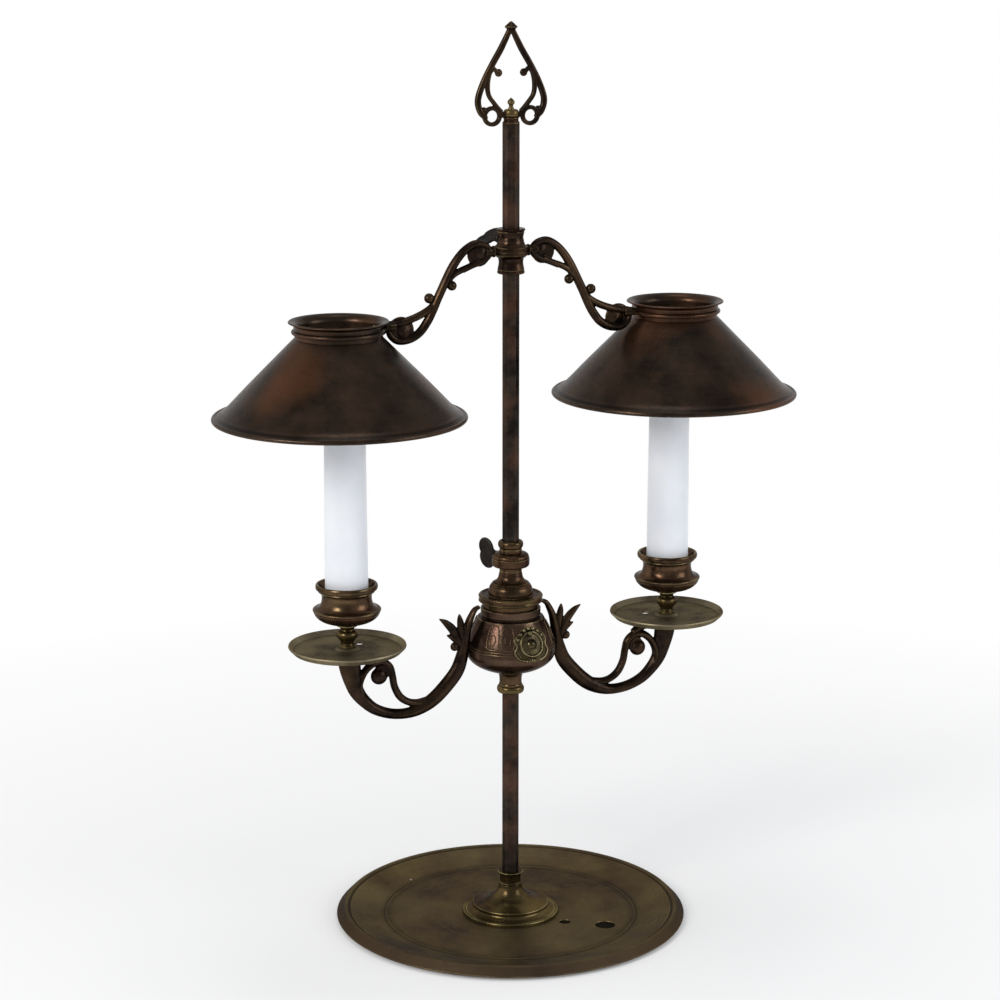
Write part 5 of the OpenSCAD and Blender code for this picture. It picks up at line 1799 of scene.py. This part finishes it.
    def arm(self) -> Shell:
        """Makes the right arm.

        Returns:
            The arm.
        """
        layout = Layout(self.wide, self.reach, self.seat_z - self.rise, self.seat_z, self.bar, self.half)
        main = [
            (-9, 140, 35, 0.5), (-5, 136.5, 48, 0.7), (-2, 128, 60, 0.85), (0.5, 118, 70, 0.95), (2.2, 105.5, 83, 1),
            (3.6, 92.5, 100, 1), (6, 75, 121, 1), (10.2, 56.5, 137, 1), (19, 38.5, 140, 1), (29, 23, 137, 1),
            (39.5, 12.8, 123, 1), (51, 7.3, 100, 1), (65, 9, 97, 1), (78, 17.5, 103, 1), (87, 30.5, 117, 1),
            (93, 44.5, 140, 1), (96, 60, 170, 1.05), (98, 76.5, 200, 1.15), (99.5, 94, 212, 1.35),
        ]
        curl = [
            (31.5, 24, 60, 0.6), (42.5, 19.5, 73, 0.75), (51, 22.5, 67, 0.8), (57.7, 31, 70, 0.8), (62, 45, 67, 0.8),
            (63.7, 60, 67, 0.8), (66, 72.5, 70, 0.8), (72, 80, 70, 0.8), (79, 79, 70, 0.8), (85, 72, 67, 0.8),
            (89, 61.5, 63, 0.9), (90.7, 50.5, 60, 1), (89, 39.5, 53, 1), (84.7, 31, 40, 0.9),
        ]
        bridge = [(70, 83, 50, 0.7), (76, 89, 73, 0.8), (84, 91.5, 83, 0.9), (95, 92, 93, 1)]
        leaves = [
            [(7.7, 94, 60, 0.6), (12.8, 111, 83, 0.5), (19, 122.5, 63, 0.4), (24.7, 129, 13, 0.15)],
            [(5.2, 100, 60, 0.6), (6.7, 117, 73, 0.5), (7.6, 127, 50, 0.4), (8, 133, 13, 0.15)],
            [(7.4, 92, 53, 0.6), (11.8, 100, 63, 0.5), (15.6, 104, 43, 0.4), (18.5, 106, 13, 0.15)],
        ]
        shells = [layout.scroll(main), layout.scroll(curl), layout.scroll(bridge, 6)]
        shells += [layout.scroll(leaf, 8, 1.7) for leaf in leaves]
        x, z, r, _ = layout.at((74.6, 61.3, 153, 1))[0]
        shells.append(ball(x, 0, z, r, 3.6, r))
        x, z, r, _ = layout.at((72, 67, 150, 1))[0]
        shells.append(disc(x, z, r, self.half * 0.55, 0.9))
        x, z, r, _ = layout.at((11.9, 89.5, 80, 1))[0]
        shells.append(ball(x, 0, z, r, r, r))
        tenon = turned([(0, 0), (2.4, 0), (2.4, 7.8), (0, 7.8)], 0.1, 32)
        shells.append(lying(tenon, self.wide - 3.8, self.mouth_z - 20))
        under = self.seat_z - 2.6
        shells.append(turned([(0, under), (5.3, under), (6.8, self.seat_z), (0, self.seat_z)], 0.2, 64, self.reach))
        return cast(shells, 0.3, 6)

    def pan_outline(self) -> Outline:
        """Gives the section of a drip pan.

        Returns:
            Points from the axis and up, all round the solid.
        """
        z, r, floor, bore, boss = self.seat_z, self.pan, self.pan - 2.6, self.stud_bore, 7.0
        boss_z = z + self.boss_up
        return [
            (bore, z), (boss - 1, z), (floor, z), (r - 0.2, z + 2.4), (r, z + 2.8), (r - 0.2, z + 3.5),
            (r - 0.9, z + 3.5), (floor - 0.5, z + 1), (boss, z + 1), (boss - 1.4, boss_z), (bore, boss_z),
        ]

    def stem_outline(self) -> Outline:
        """Gives the section of a baluster stem.

        Returns:
            Points from the axis and up, all round the solid.
        """
        z, h, bead = self.seat_z + self.boss_up, self.stem_up, 5.7
        foot, top, bore = bead * 0.74, bead * 0.96, self.stud_bore
        return [
            (bore, z), (foot, z), (foot, z + 0.9), (foot - 0.6, z + 1.4), (foot - 0.9, z + 2.6),
            *arc(bead - 2.2, z + h * 0.55, 2.2, h * 0.2, -60, 80, 12), (foot - 0.6, z + h * 0.8),
            (foot - 0.3, z + h - 1.6), (top, z + h - 0.8), (top, z + h), (bore, z + h),
        ]

    def cup_outline(self) -> Outline:
        """Gives the section of a candle cup.

        Returns:
            Points from the axis and up, all round the solid.
        """
        z = self.seat_z + self.boss_up + self.stem_up
        top, rim, belly, foot = z + self.cup_up, self.cup_rim, self.cup_belly, 5.7
        belly_z, waist_z = z + self.cup_up * 0.35, z + self.cup_up * 0.665
        socket, floor = 12.0, top - 14.8
        waist = socket + 1.2
        return [
            (0, z), (foot, z), (foot + 0.6, z + 0.5),
            *arc(foot + 0.6, belly_z, belly - foot - 1, belly_z - z - 1, 280, 350, 8),
            *arc(belly - 0.7, belly_z + 0.3, 0.7, 0.7, -60, 60, 6),
            *arc(belly - 1.2, waist_z, belly - 1.2 - waist, waist_z - belly_z - 1, 265, 185, 12),
            *arc(rim - 0.9, waist_z, rim - 0.9 - waist, top - 4 - waist_z, 175, 100, 8), (rim - 1.6, top - 3.6),
            (rim - 1.6, top - 3.1), *arc(rim - 0.8, top - 1.6, 0.8, 1.5, -70, 70, 8), (rim - 1, top),
            (rim - 1.5, top - 0.2), (socket + 0.2, waist_z + 2.4), (socket, waist_z + 1), (socket, floor), (0, floor),
        ]

    def build(self) -> None:
        """Makes the whole carrier."""
        self.head()
        self.urn()
        front = self.ornament()
        piece("cartouche_front", front, RELIEF_BRASS, "candle_carrier", "urn_ornament_front")
        back = front.placed(Matrix.Rotation(math.pi, 4, "Z"))
        piece("cartouche_back", back, RELIEF_BRASS, "candle_carrier", "urn_ornament_back")
        piece("urn_strapwork", self.straps(), URN_COPPER, "candle_carrier")
        dress("arm_screws", HIDDEN_STEEL)
        arm = self.arm()
        pan = turned(self.pan_outline(), 0.2, 160, self.reach)
        pan = bored(pan, [self.pan_hole], self.seat_z - 1, self.seat_z + 4)
        stem = turned(self.stem_outline(), 0.15, 72, self.reach)
        cup = turned(self.cup_outline(), 0.2, 144, self.reach)
        for side in Side:
            name = side.label()
            piece(f"arm_scroll_{name}", arm.on(side), BRONZE, "candle_carrier", f"candle_arm_{name}")
            piece(f"pan_spun_{name}", pan.on(side), PAN_BRASS, "candle_carrier", f"drip_pan_{name}")
            piece(f"baluster_{name}", stem.on(side), FOOT_BRASS, "candle_carrier", f"cup_stem_{name}")
            piece(f"cup_turned_{name}", cup.on(side), CUP_COPPER, "candle_carrier", f"candle_cup_{name}")
            dress(f"cup_stud_{name}", HIDDEN_STEEL)
        ThumbScrew("wing_lower", "candle_thumb_screw", "candle_screw", 5.484, 10.2, 202.05, 84.0).build()


@dataclass
class Candles:
    """The two candles in their cups."""

    reach: float = 93.0
    foot: float = 183.2
    length: float = 94.5
    radius: float = 11.5
    radius_top: float = 10.9

    def build(self) -> None:
        """Makes candles and wicks."""
        z, top, r, q = self.foot, self.foot + self.length, self.radius, self.radius_top
        outline = [
            (0, z), (r - 0.6, z), (r, z + 0.6),
            *[(r + (q - r) * (6 + i * 8) / self.length, z + 6 + i * 8) for i in range(11)],
            (q, top - 1.6), (q - 0.5, top - 0.5), (q - 1.8, top), (2.0, top - 1.4), (0.74, top - 1.4),
            (0.74, top - 8), (0, top - 8),
        ]
        shell = turned(outline, 0.4, 96, self.reach)
        turns = np.linspace(0, 14, 57)
        strand = np.column_stack(
            [self.reach + 0.1 * np.cos(turns * 1.7), 0.1 * np.sin(turns * 1.7), top - 8 + turns]
        )
        half = np.column_stack([0.55 + 0.06 * np.sin(turns * 9), 0.55 + 0.06 * np.cos(turns * 9)])
        wick = swept(strand, ALONG, half, 12)
        for side in Side:
            name = side.label()
            piece(f"taper_{name}", shell.on(side), WAX, f"{name}_candle", f"candle_{name}")
            piece(f"wick_braid_{name}", wick.on(side), COTTON, f"{name}_candle", f"wick_{name}")


# ---------------------------------------------------------------- the studio

LAMP_MIDDLE = (0.0, 0.0, 0.24)


@dataclass(frozen=True)
class SoftLight:
    """A soft square light that looks at the lamp's middle.

    Attributes:
        name: Its name.
        spot: Its place.
        size: Its side.
        watts: Its power.
        colour: Its colour.
    """

    name: str
    spot: tuple[float, float, float]
    size: float
    watts: float
    colour: Colour

    def hang(self) -> None:
        """Hangs the light."""
        data = bpy.data.lights.new(self.name, "AREA")
        data.shape = "SQUARE"
        data.size = self.size
        data.energy = self.watts
        data.color = self.colour
        obj = put(self.name, data)
        obj.location = self.spot
        look = Vector(LAMP_MIDDLE) - Vector(self.spot)
        obj.rotation_euler = look.to_track_quat("-Z", "Y").to_euler()


@dataclass
class Studio:
    """The floor, the light and the camera.

    Attributes:
        eye: The camera's place.
        heading: The camera's turn about the upright axis, in degrees.
        pitch: Its tilt, in degrees, below 0 downwards.
        lens: Its focal length in millimetres.
        floor_radius: Radius of the round floor.
        pale_from: Radius from which the floor fades to white.
        pale_by: Radius at which it is white.
        glow: How much of the white shows near the lamp.
        hollow: Radii from which and within which the floor is dark under the base: a painted shadow.
        white: What metal sees behind and beside the lamp.
        gloom: What metal sees in front of it.
        ambient: Colour of the world as a light.
        ambient_strength: Strength of the world as a light.
        floor_tone: Colour of the floor.
        painted_shadow_tone: Colour of the painted shadow on the floor under the base.
        lights: The lights.
    """

    eye: tuple[float, float, float] = (-0.528, -1.306, 0.5594)
    heading: float = -21.78
    pitch: float = -12.98
    lens: float = 97.26
    floor_radius: float = 1.1
    pale_from: float = 0.16
    pale_by: float = 0.66
    glow: float = 0.15
    hollow: tuple[float, float] = (0.075, 0.069)
    white: Colour = (1.0, 1.0, 1.0)
    gloom: Colour = (0.3, 0.3, 0.32)
    ambient: Colour = (0.97, 0.98, 1.0)
    ambient_strength: float = 0.66
    floor_tone: Colour = (0.9, 0.9, 0.9)
    painted_shadow_tone: Colour = (0.012, 0.01, 0.008)
    lights: tuple[SoftLight, ...] = (
        SoftLight("key", (-1.95, -0.85, 1.3), 0.8, 24.5, (1.0, 0.98, 0.95)),
        SoftLight("fill", (1.5, -1.3, 0.9), 1.1, 13.0, (0.94, 0.97, 1.0)),
        SoftLight("top", (0.1, 0.3, 2.2), 0.8, 4.0, (1.0, 1.0, 1.0)),
    )

    def camera(self) -> None:
        """Places the camera."""
        data = bpy.data.cameras.new("Camera")
        data.lens = self.lens
        data.sensor_width = 36.0
        data.clip_start, data.clip_end = 0.05, 50.0
        obj = put("Camera", data)
        obj.location = self.eye
        obj.rotation_euler = (math.radians(90 + self.pitch), 0.0, math.radians(self.heading))
        bpy.context.scene.camera = obj

    def world(self) -> None:
        """Makes the world white to the eye and in the metal, and dimmer as a light."""
        world = bpy.data.worlds.new("World")
        bpy.context.scene.world = world
        world.use_nodes = True
        graph = Graph(world.node_tree)
        path = graph.node("ShaderNodeLightPath")
        looked_at = Signal(graph, path.outputs["Is Camera Ray"]) + Signal(graph, path.outputs["Is Transmission Ray"])
        seen = (looked_at + Signal(graph, path.outputs["Is Glossy Ray"])).between(0.0, 1.0)
        way = graph.node("ShaderNodeSeparateXYZ", {}, {0: graph.node("ShaderNodeTexCoord").outputs["Generated"]})
        behind = Signal(graph, way.outputs[1]).between(-0.55, 0.3) * Signal(graph, way.outputs[2]).between(0.95, 0.25)
        dim = graph.node("ShaderNodeBackground", {}, {"Color": self.ambient, "Strength": self.ambient_strength})
        tone = graph.blend((looked_at + behind).between(0.0, 1.0), self.gloom, self.white)
        white = graph.node("ShaderNodeBackground", {}, {"Color": tone, "Strength": 1.0})
        mixed = graph.node("ShaderNodeMixShader", {}, {0: seen, 1: dim.outputs[0], 2: white.outputs[0]})
        graph.close(mixed.outputs[0], "ShaderNodeOutputWorld")

    def floor(self) -> None:
        """Lays a round pale floor that fades to white at its edge, with a painted shadow under the base."""
        turns = np.radians(np.arange(0, 360, 5))
        rim = np.column_stack([np.cos(turns), np.sin(turns), 0 * turns]) * self.floor_radius
        mesh = bpy.data.meshes.new("floor")
        mesh.from_pydata(rim.tolist(), [], [tuple(range(len(rim)))])
        obj = put("floor", mesh)
        made, graph = blank("Pale_floor")
        place = graph.coordinates()
        far = graph.node("ShaderNodeVectorMath", {"operation": "LENGTH"}, {0: place}).outputs["Value"]
        fade = Signal(graph, far).between(self.pale_from, self.pale_by)
        path = graph.node("ShaderNodeLightPath")
        seen = (
            Signal(graph, path.outputs["Is Camera Ray"]) + Signal(graph, path.outputs["Is Glossy Ray"])
        ).between(0.0, 1.0)
        # Under the base the floor is painted near black and gets no white glow. This is a painted shadow that shows
        # through the base's holes.
        under = Signal(graph, far).between(*self.hollow)
        share = seen * (self.glow + (1.0 - self.glow) * fade) * (1.0 - under)
        tone = graph.blend(under, self.floor_tone, self.painted_shadow_tone)
        matt = graph.node("ShaderNodeBsdfDiffuse", {}, {"Color": tone})
        glow = graph.node("ShaderNodeEmission", {}, {"Color": self.white, "Strength": 1.0})
        mixed = graph.node("ShaderNodeMixShader", {}, {0: share, 1: matt.outputs[0], 2: glow.outputs[0]})
        graph.close(mixed.outputs[0])
        mesh.materials.append(made)

    def build(self) -> None:
        """Sets the studio up."""
        self.camera()
        self.world()
        self.floor()
        for light in self.lights:
            light.hang()
        bpy.context.scene.view_settings.view_transform = "Standard"


def main() -> None:
    """Builds the pieces in order."""
    logging.basicConfig(level=logging.INFO, format="%(name)s %(message)s")
    for part in (Studio(), Base(), Foot(), Stem(), ShadeCarrier(), CandleCarrier(), Candles()):
        part.build()
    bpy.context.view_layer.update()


if __name__ == "__main__":
    main()
